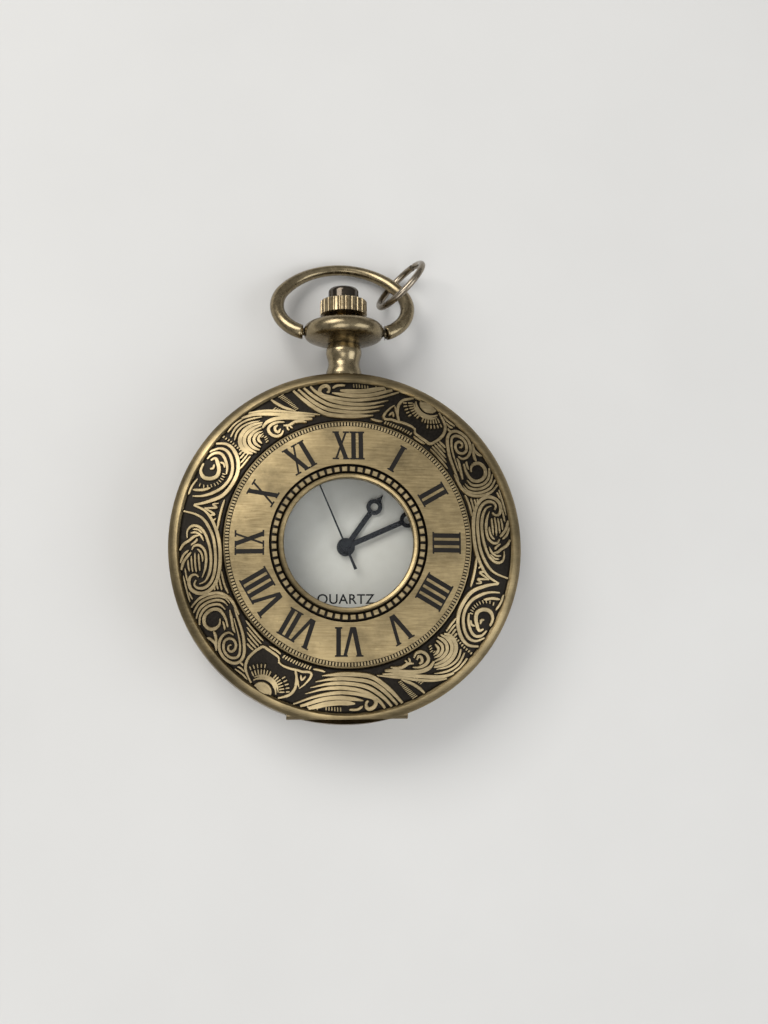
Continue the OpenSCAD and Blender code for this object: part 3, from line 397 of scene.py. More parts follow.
def smooth_curve(points, per_span=5):
    """Catmull-Rom curve through points of any dimension."""
    pts = [points[0]] + list(points) + [points[-1]]
    out = []
    for i in range(1, len(pts) - 2):
        p0, p1, p2, p3 = pts[i - 1:i + 3]
        for k in range(per_span):
            t = k / per_span
            out.append(tuple(
                0.5 * (2 * b + (c - a) * t + (2 * a - 5 * b + 4 * c - d) * t * t
                       + (3 * b - a - 3 * c + d) * t ** 3)
                for a, b, c, d in zip(p0, p1, p2, p3)))
    out.append(tuple(points[-1]))
    return out


# ---------------------------------------------------------------- cover relief

RECESS_OUT, RECESS_IN = (21.45, 10.3), (15.9, 12.3)


def ground_z(r):
    """Height of the cover's recessed band."""
    t = (RECESS_OUT[0] - r) / (RECESS_OUT[0] - RECESS_IN[0])
    return RECESS_OUT[1] + (RECESS_IN[1] - RECESS_OUT[1]) * t + 0.48 * t * (1 - t)


def relief_z(r):
    """Height of the relief's flat tops: level with the rim outside and under the plate inside."""
    t = (RECESS_OUT[0] - r) / (RECESS_OUT[0] - RECESS_IN[0])
    return ground_z(r) + 0.26 + 0.10 * t


def ribbon(shape, points, width, ends=(0.35, 0.35), turn=0.0):
    """Raised stroke with a flat top and bevelled sides, along (angle, radius) points."""
    line = smooth_curve(points)
    places = [on_dial(a + turn, r, relief_z(r)) for a, r in line]
    n = len(places)
    rings = []
    for i, p in enumerate(places):
        ahead = (places[min(i + 1, n - 1)] - places[max(i - 1, 0)]).normalized()
        out = Vector((p.x, p.y, 0)).normalized()
        normal = (Vector((0, 0, 1)) + out * 0.36).normalized()
        side = ahead.cross(normal).normalized()
        t = i / (n - 1)
        grow_in = ends[0] + (1 - ends[0]) * min(1, t / 0.22)
        grow_out = ends[1] + (1 - ends[1]) * min(1, (1 - t) / 0.22)
        half = width * 0.6 * min(grow_in, grow_out)
        bevel = min(0.045, half * 0.35)
        deep = p - normal * 0.42
        rings.append([tuple(v) for v in (
            deep - side * (half + 0.05), p - side * half - normal * 0.07,
            p - side * (half - bevel), p + side * (half - bevel),
            p + side * half - normal * 0.07, deep + side * (half + 0.05))])
    shape.loft(rings)


def tick(shape, angle, r, length, width, lean, turn=0.0):
    """Short straight stroke: lean 0 points outwards, 90 clockwise along the band."""
    da = math.degrees(math.sin(math.radians(lean)) * length / 2 / r)
    dr = math.cos(math.radians(lean)) * length / 2
    ribbon(shape, [(angle - da, r - dr), (angle + da, r + dr)], width, (0.7, 0.7), turn)


# Strokes of the scrollwork: width, ends, then (angle, radius) points.
STROKES = [
    # nested waves
    (0.50, (0.6, 0.2), [(161, 21.35), (163, 19.9), (166, 18.4), (170, 17.2), (175, 16.7), (181, 16.55),
                        (187, 16.75), (191.3, 17.05)]),
    (0.46, (0.6, 0.15), [(162.8, 21.35), (164.8, 20.0), (167.6, 18.7), (171.3, 17.75), (176, 17.3),
                         (182, 17.1), (188, 17.35), (193.5, 17.95)]),
    (0.46, (0.6, 0.15), [(164.8, 21.35), (166.6, 20.2), (169.1, 19.2), (172.4, 18.35), (177, 17.85),
                         (183, 17.68), (189, 18.0), (194.8, 18.8)]),
    (0.45, (0.6, 0.15), [(167.2, 21.35), (168.4, 20.5), (170.4, 19.7), (173.4, 18.95), (178, 18.42),
                         (184, 18.28), (190, 18.68), (196, 19.7)]),
    (0.44, (0.5, 0.4), [(172.6, 20.1), (173.4, 20.25), (173.6, 20.75), (172.6, 21.1), (171, 20.95),
                        (170.0, 20.4), (170.6, 19.85), (172.6, 19.5), (177, 19.02), (183, 18.85),
                        (189, 19.3), (194, 20.1), (198.8, 21.35)]),
    (0.50, (0.3, 0.6), [(174.5, 19.95), (179, 19.6), (184, 19.5), (190, 20.0), (196.4, 21.35)]),
    (0.62, (0.3, 0.6), [(177.5, 20.25), (182, 20.1), (187.5, 20.4), (193.6, 21.35)]),
    (0.30, (0.3, 0.6), [(174.8, 20.6), (176.6, 21.0), (179.5, 21.0)]),
    # triangle scroll beside the shield
    (0.30, (0.4, 0.6), [(18.8, 19.3), (17.3, 18.6), (16.0, 17.7), (15.9, 17.15), (17.2, 17.0),
                        (19.6, 17.2), (22.0, 17.25), (25, 17.42), (28.5, 17.5), (30.6, 17.3)]),
    (0.30, (0.4, 0.5), [(19.0, 19.15), (20.6, 18.4), (21.9, 17.75), (22.8, 17.35)]),
    (0.26, (0.5, 0.5), [(17.9, 17.6), (18.9, 18.2), (19.9, 17.65)]),
    (0.34, (0.4, 0.6), [(21.7, 17.9), (20.6, 18.7), (20.3, 19.6), (21.4, 20.5), (24.4, 21.35)]),
    (0.34, (0.5, 0.6), [(30.2, 17.5), (31.2, 16.95), (33.0, 16.8), (36.4, 16.8), (39.4, 16.9),
                        (40.4, 17.5), (41.0, 18.3), (41.0, 19.3), (39.6, 20.3), (37.2, 20.9),
                        (34.9, 21.35)]),
    (0.26, (0.4, 0.4), [(10.4, 16.5), (13.0, 16.45), (15.8, 16.5)]),
    (0.26, (0.4, 0.4), [(31.4, 16.4), (34.0, 16.3), (37.6, 16.4)]),
    # small knots and hatch after the shield
    (0.24, (0.5, 0.5), [(36.6, 21.3), (39.0, 21.15), (42.2, 21.25)]),
    (0.24, (0.5, 0.5), [(38.9, 20.75), (40.8, 20.7), (42.0, 20.85)]),
    (0.24, (0.5, 0.5), [(40.7, 20.3), (41.6, 20.2), (42.2, 20.3)]),
    (0.26, (0.5, 0.4), [(41.6, 18.0), (43.6, 18.0), (45.4, 17.95)]),
    (0.26, (0.5, 0.4), [(41.2, 17.6), (44.0, 17.55), (46.8, 17.45)]),
    (0.26, (0.5, 0.4), [(41.0, 17.2), (44.6, 17.1), (48.6, 17.0)]),
    (0.26, (0.5, 0.4), [(40.8, 16.78), (45.4, 16.68), (50.4, 16.6)]),
    (0.26, (0.5, 0.4), [(41.0, 16.35), (47.0, 16.25), (53.0, 16.2)]),
    # oval spiral
    (0.36, (0.6, 0.5), [(60, 16.55), (54.6, 16.95), (49.6, 17.5), (45.8, 18.3), (43.2, 19.2),
                        (42.6, 20.1), (43.8, 20.85), (46.6, 21.2), (49.8, 21.1), (52.4, 20.5),
                        (53.7, 19.6), (53.3, 18.8), (51.4, 18.5)]),
    (0.32, (0.4, 0.6), [(56.6, 17.25), (51.4, 17.85), (47.2, 18.6), (44.6, 19.5), (44.6, 20.2),
                        (46.6, 20.7), (49.4, 20.6), (51.5, 20.0), (51.6, 19.3), (50.2, 18.9),
                        (48.2, 19.0), (47.0, 19.5), (47.3, 20.05), (48.6, 20.15), (49.4, 19.8),
                        (49.0, 19.45)]),
    (0.30, (0.5, 0.3), [(60.6, 17.15), (56.6, 17.6), (53.4, 18.05), (51.6, 18.15)]),
    # commas that lead to the big scroll
    (0.34, (0.6, 0.3), [(51.0, 21.35), (53.0, 20.95), (55.2, 21.1), (56.4, 21.35)]),
    (0.32, (0.5, 0.3), [(52.4, 20.9), (55.0, 20.4), (57.0, 20.2)]),
    (0.40, (0.4, 0.5), [(59.6, 18.75), (58.0, 19.1), (57.4, 19.8), (58.4, 20.5), (60.6, 20.75),
                        (62.9, 20.4), (64.0, 19.6), (63.8, 18.75), (62.0, 18.2), (58.4, 18.15),
                        (55.2, 18.5)]),
    (0.26, (0.5, 0.5), [(55.0, 19.0), (56.4, 18.75), (58.2, 18.6)]),
    (0.32, (0.6, 0.3), [(61.4, 21.35), (64.0, 20.75), (65.6, 19.8), (65.7, 18.8), (64.4, 17.95),
                        (61.6, 17.6)]),
    (0.32, (0.6, 0.3), [(63.8, 21.35), (66.2, 20.5), (67.2, 19.4), (66.9, 18.3), (65.3, 17.45),
                        (62.6, 17.1)]),
    (0.32, (0.6, 0.3), [(66.0, 21.35), (68.1, 20.3), (68.7, 19.1), (68.1, 17.9), (66.2, 17.05),
                        (63, 16.75)]),
    (0.36, (0.6, 0.5), [(68.0, 21.35), (69.7, 20.1), (70.0, 18.9), (69.2, 17.7), (67.0, 16.85),
                        (63.5, 16.42), (60, 16.4), (56.8, 16.5)]),
    # hatch below and above the second oval
    (0.24, (0.5, 0.4), [(70.6, 17.85), (71.6, 17.8), (72.4, 17.75)]),
    (0.24, (0.5, 0.4), [(70.4, 17.45), (72.0, 17.4), (73.6, 17.35)]),
    (0.24, (0.5, 0.4), [(69.6, 17.0), (72.4, 16.95), (75.4, 16.85)]),
    (0.26, (0.5, 0.4), [(67.2, 16.42), (72.0, 16.5), (77.4, 16.4)]),
    (0.24, (0.5, 0.4), [(69.8, 21.25), (74.0, 21.2), (79.2, 21.2)]),
    (0.22, (0.5, 0.4), [(70.4, 20.85), (71.8, 20.95), (73.2, 21.0)]),
    (0.22, (0.5, 0.4), [(77.0, 20.85), (79.0, 20.85), (81.6, 20.85)]),
    # second oval scroll
    (0.42, (0.5, 0.6), [(77.4, 19.35), (78.6, 19.7), (78.4, 20.3), (76.6, 20.7), (74.0, 20.65),
                        (71.9, 20.0), (71.0, 19.1), (71.8, 18.1), (74.2, 17.25), (78, 16.65),
                        (83, 16.3), (88, 16.25), (93, 16.5), (97.4, 17.05), (101, 17.85),
                        (103.2, 18.8), (104.3, 20.25)]),
    (0.36, (0.5, 0.6), [(76.6, 19.75), (75.2, 20.1), (73.6, 19.8), (72.9, 19.0), (74.0, 18.1),
                        (77, 17.4), (81.6, 16.95), (87, 16.85), (92.4, 17.1), (96.6, 17.75),
                        (99.6, 18.6), (101.1, 19.7), (101.6, 21.35)]),
    (0.34, (0.4, 0.4), [(74.8, 19.45), (75.3, 18.65), (77.6, 18.0), (81.4, 17.55), (86.4, 17.45),
                        (91, 17.75), (94.6, 18.3), (96.6, 19.1), (96.6, 19.95), (94.8, 20.45),
                        (92.2, 20.4)]),
    (0.32, (0.3, 0.4), [(76.8, 18.95), (80.0, 18.35), (84.0, 18.05), (87.4, 18.2), (89.3, 18.8),
                        (89.2, 19.5), (87.8, 19.8)]),
    (0.24, (0.5, 0.4), [(80.2, 20.35), (82.2, 20.4), (84.4, 20.35)]),
    (0.24, (0.5, 0.4), [(79.8, 19.95), (82.4, 19.95), (85.6, 19.9)]),
    (0.24, (0.5, 0.4), [(79.4, 19.5), (82.6, 19.5), (86.6, 19.4)]),
    (0.24, (0.5, 0.4), [(79.6, 19.05), (82.8, 19.0), (86.2, 18.95)]),
    (0.26, (0.4, 0.5), [(82.8, 18.55), (84.8, 18.5), (86.8, 18.7), (88.0, 19.1)]),
    (0.34, (0.6, 0.4), [(81.2, 21.35), (83.6, 21.0), (85.6, 20.4), (87.0, 19.9)]),
    (0.30, (0.6, 0.3), [(83.6, 21.35), (86.2, 20.9), (87.8, 20.2)]),
    (0.34, (0.6, 0.4), [(88.0, 21.35), (90.0, 20.85), (91.4, 20.1), (92.8, 19.5), (93.2, 18.9)]),
    (0.28, (0.5, 0.3), [(89.6, 19.9), (90.8, 19.35), (92.0, 19.1)]),
    (0.28, (0.4, 0.3), [(94.0, 20.0), (94.3, 19.35), (93.2, 18.7), (91.0, 18.3)]),
    (0.26, (0.4, 0.3), [(95.4, 19.75), (95.4, 19.1), (94.0, 18.5)]),
    # zigzag
    (0.28, (0.5, 0.5), [(96.0, 16.65), (102.6, 16.65), (109.4, 16.65)]),
    (0.24, (0.5, 0.5), [(98.0, 17.1), (99.4, 17.35), (100.6, 17.05)]),
    (0.28, (0.5, 0.6), [(100.4, 17.5), (101.4, 17.9), (102.2, 17.35), (103.1, 17.9), (104.0, 18.8)]),
    (0.28, (0.6, 0.5), [(104.0, 18.8), (104.7, 17.8), (105.3, 17.3), (106.2, 17.85), (107.2, 17.2)]),
    # big acanthus scroll
    (0.44, (0.6, 0.6), [(104.5, 20.2), (105.7, 19.2), (107.8, 18.1), (110.4, 17.2), (114, 16.7),
                        (119, 16.55), (123.6, 16.85), (127.4, 17.7), (129.7, 19.0), (129.8, 20.2),
                        (127.8, 21.35)]),
    (0.38, (0.5, 0.6), [(107.4, 20.7), (108.4, 19.5), (110.6, 18.4), (114.2, 17.5), (118.8, 17.2),
                        (123, 17.55), (126.4, 18.5), (127.8, 19.6), (127.0, 20.6), (124.2, 21.35)]),
    (0.34, (0.4, 0.5), [(109.6, 21.0), (110.4, 19.9), (112.2, 18.9)]),
    (0.36, (0.5, 0.5), [(119.8, 17.85), (122.6, 18.3), (125.0, 19.2), (125.7, 20.1), (124.2, 20.85),
                        (121.6, 21.1)]),
    (0.46, (0.5, 0.5), [(119.6, 21.2), (116.8, 21.05), (115.1, 20.3), (115.6, 19.4), (117.4, 18.85),
                        (119.8, 18.95), (121.8, 19.5), (123.2, 20.2), (121.8, 20.6)]),
    (0.30, (0.5, 0.3), [(121.0, 19.9), (119.6, 19.8), (118.8, 20.1)]),
    (0.28, (0.5, 0.3), [(122.8, 19.4), (123.0, 18.9), (121.8, 18.5)]),
    (0.26, (0.6, 0.4), [(107.6, 21.3), (110.8, 21.25), (113.8, 20.95)]),
    # hatch at the scroll's foot
    (0.24, (0.4, 0.5), [(124.6, 16.75), (128.0, 16.72), (131.4, 16.75)]),
    (0.24, (0.4, 0.5), [(126.8, 17.15), (129.2, 17.12), (131.4, 17.15)]),
    (0.24, (0.4, 0.5), [(128.2, 17.58), (129.8, 17.56), (131.2, 17.58)]),
    (0.24, (0.4, 0.5), [(129.4, 18.0), (130.2, 18.0), (131.2, 18.0)]),
    # shell leaf with fingers
    (0.50, (0.4, 0.4), [(145.2, 19.15), (141.4, 19.7), (137.2, 19.75), (133.8, 19.15), (132.3, 18.2),
                        (132.5, 17.3), (133.4, 16.75)]),
    (0.46, (0.4, 0.4), [(144.6, 18.95), (140.8, 19.25), (137.0, 19.2), (134.4, 18.5), (133.8, 17.5),
                        (134.8, 16.5)]),
    (0.42, (0.4, 0.4), [(143.6, 18.6), (140.4, 18.8), (137.4, 18.6), (135.7, 17.9), (135.7, 17.1),
                        (136.6, 16.45)]),
    (0.38, (0.4, 0.4), [(142.6, 18.25), (140.4, 18.35), (138.4, 18.1), (137.4, 17.5), (137.9, 16.65)]),
    (0.34, (0.4, 0.4), [(142.0, 17.85), (140.8, 17.9), (139.4, 17.6), (139.4, 16.9)]),
    (0.28, (0.6, 0.3), [(132.8, 19.75), (136.2, 20.35), (140.4, 20.25), (144.8, 19.55)]),
    (0.28, (0.6, 0.3), [(132.8, 20.45), (137.2, 20.9), (141.6, 20.65), (146.4, 19.85)]),
    (0.26, (0.6, 0.3), [(133.4, 21.2), (137.4, 21.35), (140.8, 21.2)]),
    # long leaves
    (0.46, (0.6, 0.3), [(140.4, 21.35), (144.6, 20.75), (149.4, 19.65), (154.6, 18.55), (160.0, 17.65),
                        (165.6, 17.1)]),
    (0.34, (0.6, 0.3), [(143.4, 21.35), (147.8, 20.55), (152.6, 19.5), (157.4, 18.5), (162.6, 17.7),
                        (168.0, 17.1)]),
    (0.50, (0.4, 0.5), [(143.8, 18.55), (146.4, 18.85), (149.4, 18.75), (153.2, 18.3), (157.4, 17.65),
                        (161.0, 17.1), (164.2, 16.8)]),
    (0.36, (0.5, 0.5), [(149.6, 17.75), (148.2, 17.7), (147.5, 17.25), (148.2, 16.9), (149.7, 17.15)]),
    (0.38, (0.5, 0.4), [(150.4, 16.75), (148.4, 16.4), (146.2, 16.6), (145.0, 17.25), (145.4, 17.95),
                        (147.4, 18.25), (150.4, 18.1), (152.6, 17.7)]),
    (0.36, (0.5, 0.3), [(151.6, 17.35), (153.6, 17.05), (156.6, 17.15), (159.2, 16.95), (161.4, 16.55)]),
    (0.24, (0.5, 0.3), [(152.8, 17.0), (152.4, 16.65), (152.9, 16.45)]),
    (0.24, (0.5, 0.3), [(154.2, 17.0), (154.0, 16.7), (154.6, 16.5)]),
    (0.36, (0.6, 0.4), [(152.6, 21.35), (153.8, 20.4), (155.8, 19.4), (158.8, 18.5)]),
]


def shield_fan(shape, turn):
    """Half disc at the rim, its scalloped crescent, and two rows of teeth round it."""
    centre = on_dial(30.3, 21.75, 0)
    along = on_dial(120.3, 1, 0)
    inward = -on_dial(30.3, 1, 0)

    def spot(dist, deg):
        """Place at a distance from the disc's centre; 0 degrees points to the dial's centre."""
        p = centre + inward * dist * math.cos(math.radians(deg)) + along * dist * math.sin(math.radians(deg))
        return math.degrees(math.atan2(p.x, p.y)), math.hypot(p.x, p.y)

    for dist, width in ((0.3, 0.7), (0.75, 0.6), (1.15, 0.4)):
        ribbon(shape, [spot(dist, d) for d in range(-72, 73, 12)], width, (0.7, 0.7), turn)
    for dist, width, reach in ((1.85, 0.36, 66), (2.15, 0.34, 58)):
        ribbon(shape, [spot(dist, d) for d in range(-reach, reach + 1, 8)], width, (0.4, 0.4), turn)
    for deg in range(-58, 59, 8):
        if abs(deg) > 4:
            longer = 0.5 if abs(deg) > 18 else 0.0
            ribbon(shape, [spot(2.3, deg), spot(2.95, deg)], 0.2, (0.9, 0.5), turn)
            if longer:
                ribbon(shape, [spot(3.12, deg), spot(3.12 + longer, deg)], 0.18, (0.7, 0.5), turn)


def rows_of_ticks(shape, turn):
    for i in range(11):
        tick(shape, 17.2 + 1.25 * i, 16.45, 0.46, 0.2, 14, turn)
    for i in range(6):
        tick(shape, 2.6 + 1.0 * i, 20.95, 0.5, 0.16, -8, turn)
    for i in range(4):
        tick(shape, 10.6 + 1.1 * i, 21.15, 0.36, 0.16, -10, turn)
    for i in range(12):
        tick(shape, 131.4 + 0.12 * math.sin(i), 16.75 + 0.4 * i, 0.3, 0.2, 90, turn)
    rope = [(112.0, 20.35), (112.0, 19.8), (112.4, 19.3), (113.1, 18.9), (114.0, 18.55), (115.0, 18.3),
            (116.1, 18.15), (117.2, 18.05), (118.3, 18.05), (119.4, 18.15)]
    for a, r in rope:
        lean = math.degrees(math.atan2((118.3 - a) * 0.34, 20.6 - r))
        tick(shape, a, r, 0.44, 0.15, lean, turn)
    for i in range(12):
        tick(shape, 156.3 + 0.30 * i, 21.25 - 0.23 * i, 0.75 - 0.03 * i, 0.14, 84, turn)
    for i in range(5):
        tick(shape, 152.0 + 0.5 * i, 20.0 - 0.24 * i, 0.55, 0.14, 80, turn)
    for i in range(6):
        tick(shape, 141.7 + 0.35 * (i % 3), 16.7 + 0.3 * i, 0.42, 0.15, 90, turn)


def build_cover():
    ground = Shape()
    top = [(21.44 - 5.53 * k / 16, ground_z(21.44 - 5.53 * k / 16) + 0.03) for k in range(17)]
    ground.lathe(top + [(15.93, 12.15), (21.44, 10.15)])
    ground.lathe([(10.08, 13.33), (8.92, 13.33), (8.92, 13.25), (10.08, 13.25)])
    ground.lathe([(15.62, 12.89), (15.12, 12.92), (15.12, 12.8), (15.62, 12.77)])
    piece("cover_dark_ground", ground.verts, ground.faces, DARK_GROUND, "cover")

    scrolls = Shape()
    for turn in (0, 180):
        for width, ends, points in STROKES:
            ribbon(scrolls, points, width, ends, turn)
        shield_fan(scrolls, turn)
        rows_of_ticks(scrolls, turn)
    piece("cover_scrollwork", scrolls.verts, scrolls.faces, RELIEF_BRASS, "cover", smooth=False)

    coin = Shape()
    for i in range(COIN_RIDGES):
        a = 360 * i / COIN_RIDGES
        coin.loft([[tuple(on_dial(a + da, r, z + dz))
                    for da, dz in ((-0.56, -0.1), (-0.52, 0.07), (-0.4, 0.12), (0.4, 0.12), (0.52, 0.07), (0.56, -0.1))]
                   for r, z in ((15.13, 12.91), (15.2, 12.92), (15.54, 12.885), (15.61, 12.875))])
    piece("cover_coin_edge", coin.verts, coin.faces, RELIEF_BRASS, "cover", smooth=False)

    beads = Shape()
    for i in range(BEADS):
        a = 360 * (i + 0.5) / BEADS
        rings = []
        for grow, z in ((0.0, 13.3), (0.0, 13.46), (0.05, 13.52)):
            r0, r1 = 9.14 + grow, 9.78 - grow
            w0, w1 = 0.33 - grow, 0.35 - grow
            rings.append([tuple(on_dial(a + math.degrees(s * w / r), r, z))
                          for s, w, r in ((-1, w0, r0), (1, w0, r0), (1, w1, r1), (-1, w1, r1))])
        beads.loft(rings)
    piece("cover_bead_ring", beads.verts, beads.faces, RELIEF_BRASS, "cover", smooth=False)


COIN_RIDGES = 240
BEADS = 60


# ---------------------------------------------------------------- numerals

ROMAN = ["XII", "I", "II", "III", "IIII", "V", "VI", "VII", "VIII", "IX", "X", "XI"]


def bar(x0, y0, x1, y1, w):
    """Stroke of a letter between two points, cut level at both ends."""
    return [(x0 - w / 2, y0), (x0 + w / 2, y0), (x1 + w / 2, y1), (x1 - w / 2, y1)]


def letter(kind, thick, thin, serif, wide):
    """(advance, polygons) of a serif capital in a square 1 high."""
    s = 0.055
    if kind == "I":
        w = thick + 2 * serif
        return w, [bar(w / 2, 0, w / 2, 1, thick), bar(w / 2, 0, w / 2, s, w), bar(w / 2, 1 - s, w / 2, 1, w)]
    w = wide
    half = thick / 2 + serif
    if kind == "V":
        w, thin = 1.18 * wide, 1.7 * thin
        polys = [bar(half, 1, w / 2 - thin * 0.2, 0, thick), bar(w - half + 0.04, 1, w / 2 + thick * 0.2, 0, thin)]
        polys += [bar(half, 1 - s, half, 1, 2 * half), bar(w - half + 0.04, 1 - s, w - half + 0.04, 1, 1.6 * half)]
        return w, polys
    polys = [bar(half, 1, w - half, 0, thick), bar(w - half, 1, half, 0, thin)]
    for x in (half, w - half):
        polys += [bar(x, 0, x, s, 1.8 * half), bar(x, 1 - s, x, 1, 1.8 * half)]
    return w, polys


def numeral_polys(text, height, thick, thin, serif, wide, gap):
    """Polygons of a Roman numeral, centred, in millimetres with Y up from its foot."""
    unit = 1 / height
    x, polys = 0.0, []
    for kind in text:
        w, parts = letter(kind, thick * unit, thin * unit, serif * unit, wide * unit)
        polys += [[((px + x) * height, py * height) for px, py in poly] for poly in parts]
        x += w + gap * unit
    width = (x - gap * unit) * height
    return [[(px - width / 2, py) for px, py in poly] for poly in polys], width


def engrave(shape, polys, angle, foot_r, height_of, depth):
    """Lays flat polygons on a turned surface, with their tops outwards."""
    a = math.radians(angle)
    out, along = Vector((math.sin(a), math.cos(a), 0)), Vector((math.cos(a), -math.sin(a), 0))
    for k, poly in enumerate(polys):
        fine = []
        for (x0, y0), (x1, y1) in zip(poly, poly[1:] + poly[:1]):
            steps = max(1, int(math.hypot(x1 - x0, y1 - y0) / 0.35))
            fine += [(x0 + (x1 - x0) * i / steps, y0 + (y1 - y0) * i / steps) for i in range(steps)]
        top, low = [], []
        for x, y in fine:
            p = out * (foot_r + y) + along * x
            z = height_of(math.hypot(p.x, p.y))
            top.append((p.x, p.y, z + 0.0008 * k))
            low.append((p.x, p.y, z - depth))
        shape.loft([low, top])


PLATE_OUT, PLATE_IN = (15.07, 13.01), (10.1, 13.55)


def plate_z(r):
    """Height of the numeral plate, which swells slightly."""
    t = (PLATE_OUT[0] - r) / (PLATE_OUT[0] - PLATE_IN[0])
    return PLATE_OUT[1] + (PLATE_IN[1] - PLATE_OUT[1]) * t + 0.16 * t * (1 - t)


def build_numerals():
    plate = Shape()
    for i, text in enumerate(ROMAN):
        polys, _ = numeral_polys(text, 3.7, 0.58, 0.26, 0.17, 2.25, 0.02)
        engrave(plate, polys, 30 * i, 10.68, lambda r: plate_z(r) + 0.02, 0.12)
    piece("cover_numerals", plate.verts, plate.faces, INLAY_BLACK, "cover", smooth=False)

    dial_top = 7.5
    print_z = dial_top + 0.012
    ink = Shape()
    for i, text in enumerate(ROMAN):
        polys, _ = numeral_polys(text, 3.4, 0.42, 0.13, 0.14, 1.7, 0.12)
        engrave(ink, polys, 30 * i, 12.4, lambda r: print_z, 0.01)
    for i in range(60):
        w, length = (0.3, 0.9) if i % 5 == 0 else (0.12, 0.7)
        engrave(ink, [bar(0, 0, 0, length, w)], 6 * i, 16.4, lambda r: print_z, 0.01)
    for r in (16.4, 17.25):
        ink.lathe([(r, print_z), (r + 0.09, print_z), (r + 0.09, dial_top), (r, dial_top)])
    piece("dial_print", ink.verts, ink.faces, INLAY_BLACK, "case", smooth=False)

    text = bpy.data.curves.new("dial_word", "FONT")
    text.body = "QUARTZ"
    text.align_x = "CENTER"
    text.align_y = "CENTER"
    text.size = 1.8 * MM
    text.space_character = 1.05
    text.offset = 0.02 * MM
    text.extrude = 0.004 * MM
    word = bpy.data.objects.new("dial_word", text)
    word.location = (0, -6.8 * MM, (dial_top + 0.008) * MM)
    bpy.context.scene.collection.objects.link(word)
    text.materials.append(INLAY_BLACK)
    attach(word, "case")


# ---------------------------------------------------------------- bow

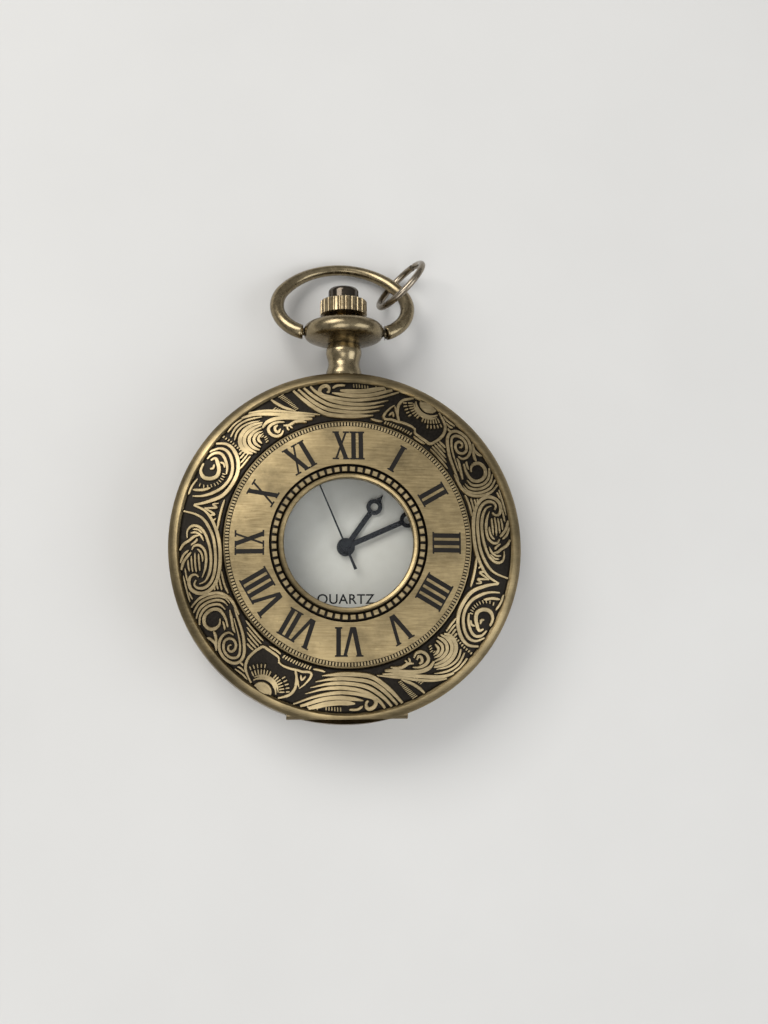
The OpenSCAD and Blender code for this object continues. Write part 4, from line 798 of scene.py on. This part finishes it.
def build_bow():
    """The bow's smooth tapered wire, which stands for the coarser CAD one."""
    pivot_y, stem_z = 29.4, 6.0
    reach, half_w, wide_at, side_r, top_wire, end_wire = 11.6, 8.95, 4.65, 4.95, 0.72, 0.97
    lie = math.asin((stem_z - top_wire - 0.08) / reach)
    side_x = half_w - side_r
    over = reach - side_r
    top_v = (over ** 2 - side_x ** 2 - wide_at ** 2) / (2 * (over - wide_at))
    arc_r = reach - top_v
    join = math.atan2(wide_at - top_v, side_x)
    end_x = 5.45 + 0.12

    def wire(v):
        t = min(1, max(0, (v - wide_at) / (reach - wide_at)))
        return end_wire + (top_wire - end_wire) * t ** 1.5

    start = -math.acos((end_x - side_x) / side_r)
    half = [(side_x + side_r * math.cos(a), wide_at + side_r * math.sin(a))
            for a in (start + (join - start) * i / 40 for i in range(41))]
    half += [(arc_r * math.cos(a), top_v + arc_r * math.sin(a))
             for a in (join + (math.pi / 2 - join) * i / 40 for i in range(1, 41))]
    line = half + [(-x, v) for x, v in half[-2::-1]]

    def place(x, v, off=0.0):
        """Point of the bow's plane, off it by a distance."""
        return Vector((x, pivot_y + v * math.cos(lie) + off * math.sin(lie),
                       stem_z - v * math.sin(lie) + off * math.cos(lie)))

    shape = Shape()
    rings = []
    n = len(line)
    for i, (x, v) in enumerate(line):
        (xa, va), (xb, vb) = line[max(i - 1, 0)], line[min(i + 1, n - 1)]
        dx, dv = xb - xa, vb - va
        if i in (0, n - 1):
            dx, dv = (1 if i == 0 else 1), 0
            dx = abs(dx)
        length = math.hypot(dx, dv)
        nx, nv = -dv / length, dx / length
        if i in (0, n - 1):
            nx, nv = 0, 1 if i else -1
            nv = 1 if i == n - 1 else -1
        r = wire(v) * 0.992
        rings.append([tuple(place(x + nx * r * math.cos(t), v + nv * r * math.cos(t), r * math.sin(t)))
                      for t in (2 * math.pi * k / 28 for k in range(28))])
    shape.loft(rings)
    for side in (-1, 1):
        shape.loft([[(side * x, pivot_y + 0.5 * math.cos(t), stem_z + 0.5 * math.sin(t))
                     for t in (2 * math.pi * k / 24 for k in range(24))]
                    for x in (end_x + 0.5, end_x - 0.85)])
    obj = piece("bow_wire", shape.verts, shape.faces, BOW_BRONZE, "bow")
    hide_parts("bow")


# ---------------------------------------------------------------- studio

def build_studio():
    mesh = bpy.data.meshes.new("floor")
    size = 3.0
    mesh.from_pydata([(-size, -size, -0.0002), (size, -size, -0.0002), (size, size, -0.0002), (-size, size, -0.0002)],
                     [], [(0, 1, 2, 3)])
    n = Nodes("pale_floor")
    n.link(n.mix(n.remap(n.noise(14, 4), 0.3, 0.7), (0.60, 0.595, 0.58), (0.64, 0.635, 0.62)),
           n.bsdf.inputs["Base Color"])
    n.bsdf.inputs["Roughness"].default_value = 0.75
    mesh.materials.append(n.mat)
    floor = bpy.data.objects.new("floor", mesh)
    bpy.context.scene.collection.objects.link(floor)

    area_light("key", (-0.30, 0.30, 0.46), (0.42, 0.34), 2.6, (1, 0.985, 0.96))
    area_light("fill", (0.42, -0.16, 0.34), (0.35, 0.35), 1.0, (0.93, 0.96, 1))
    area_light("top", (-0.12, -0.34, 0.5), (0.30, 0.45), 1.1)

    world = bpy.data.worlds.new("studio")
    bpy.context.scene.world = world
    world.use_nodes = True
    tree = world.node_tree
    coords = tree.nodes.new("ShaderNodeTexCoord")
    split = tree.nodes.new("ShaderNodeSeparateXYZ")
    ramp = tree.nodes.new("ShaderNodeValToRGB")
    tree.links.new(coords.outputs["Generated"], split.inputs["Vector"])
    tree.links.new(split.outputs["Z"], ramp.inputs["Fac"])
    ramp.color_ramp.elements[0].color = (0.25, 0.245, 0.24, 1)
    ramp.color_ramp.elements[1].color = (0.62, 0.62, 0.62, 1)
    tree.links.new(ramp.outputs["Color"], tree.nodes["Background"].inputs["Color"])
    tree.nodes["Background"].inputs["Strength"].default_value = 0.8
    bpy.context.scene.view_settings.view_transform = "Standard"


make_camera()
build_studio()
finish_nodes()
build_cover()
build_numerals()
build_bow()
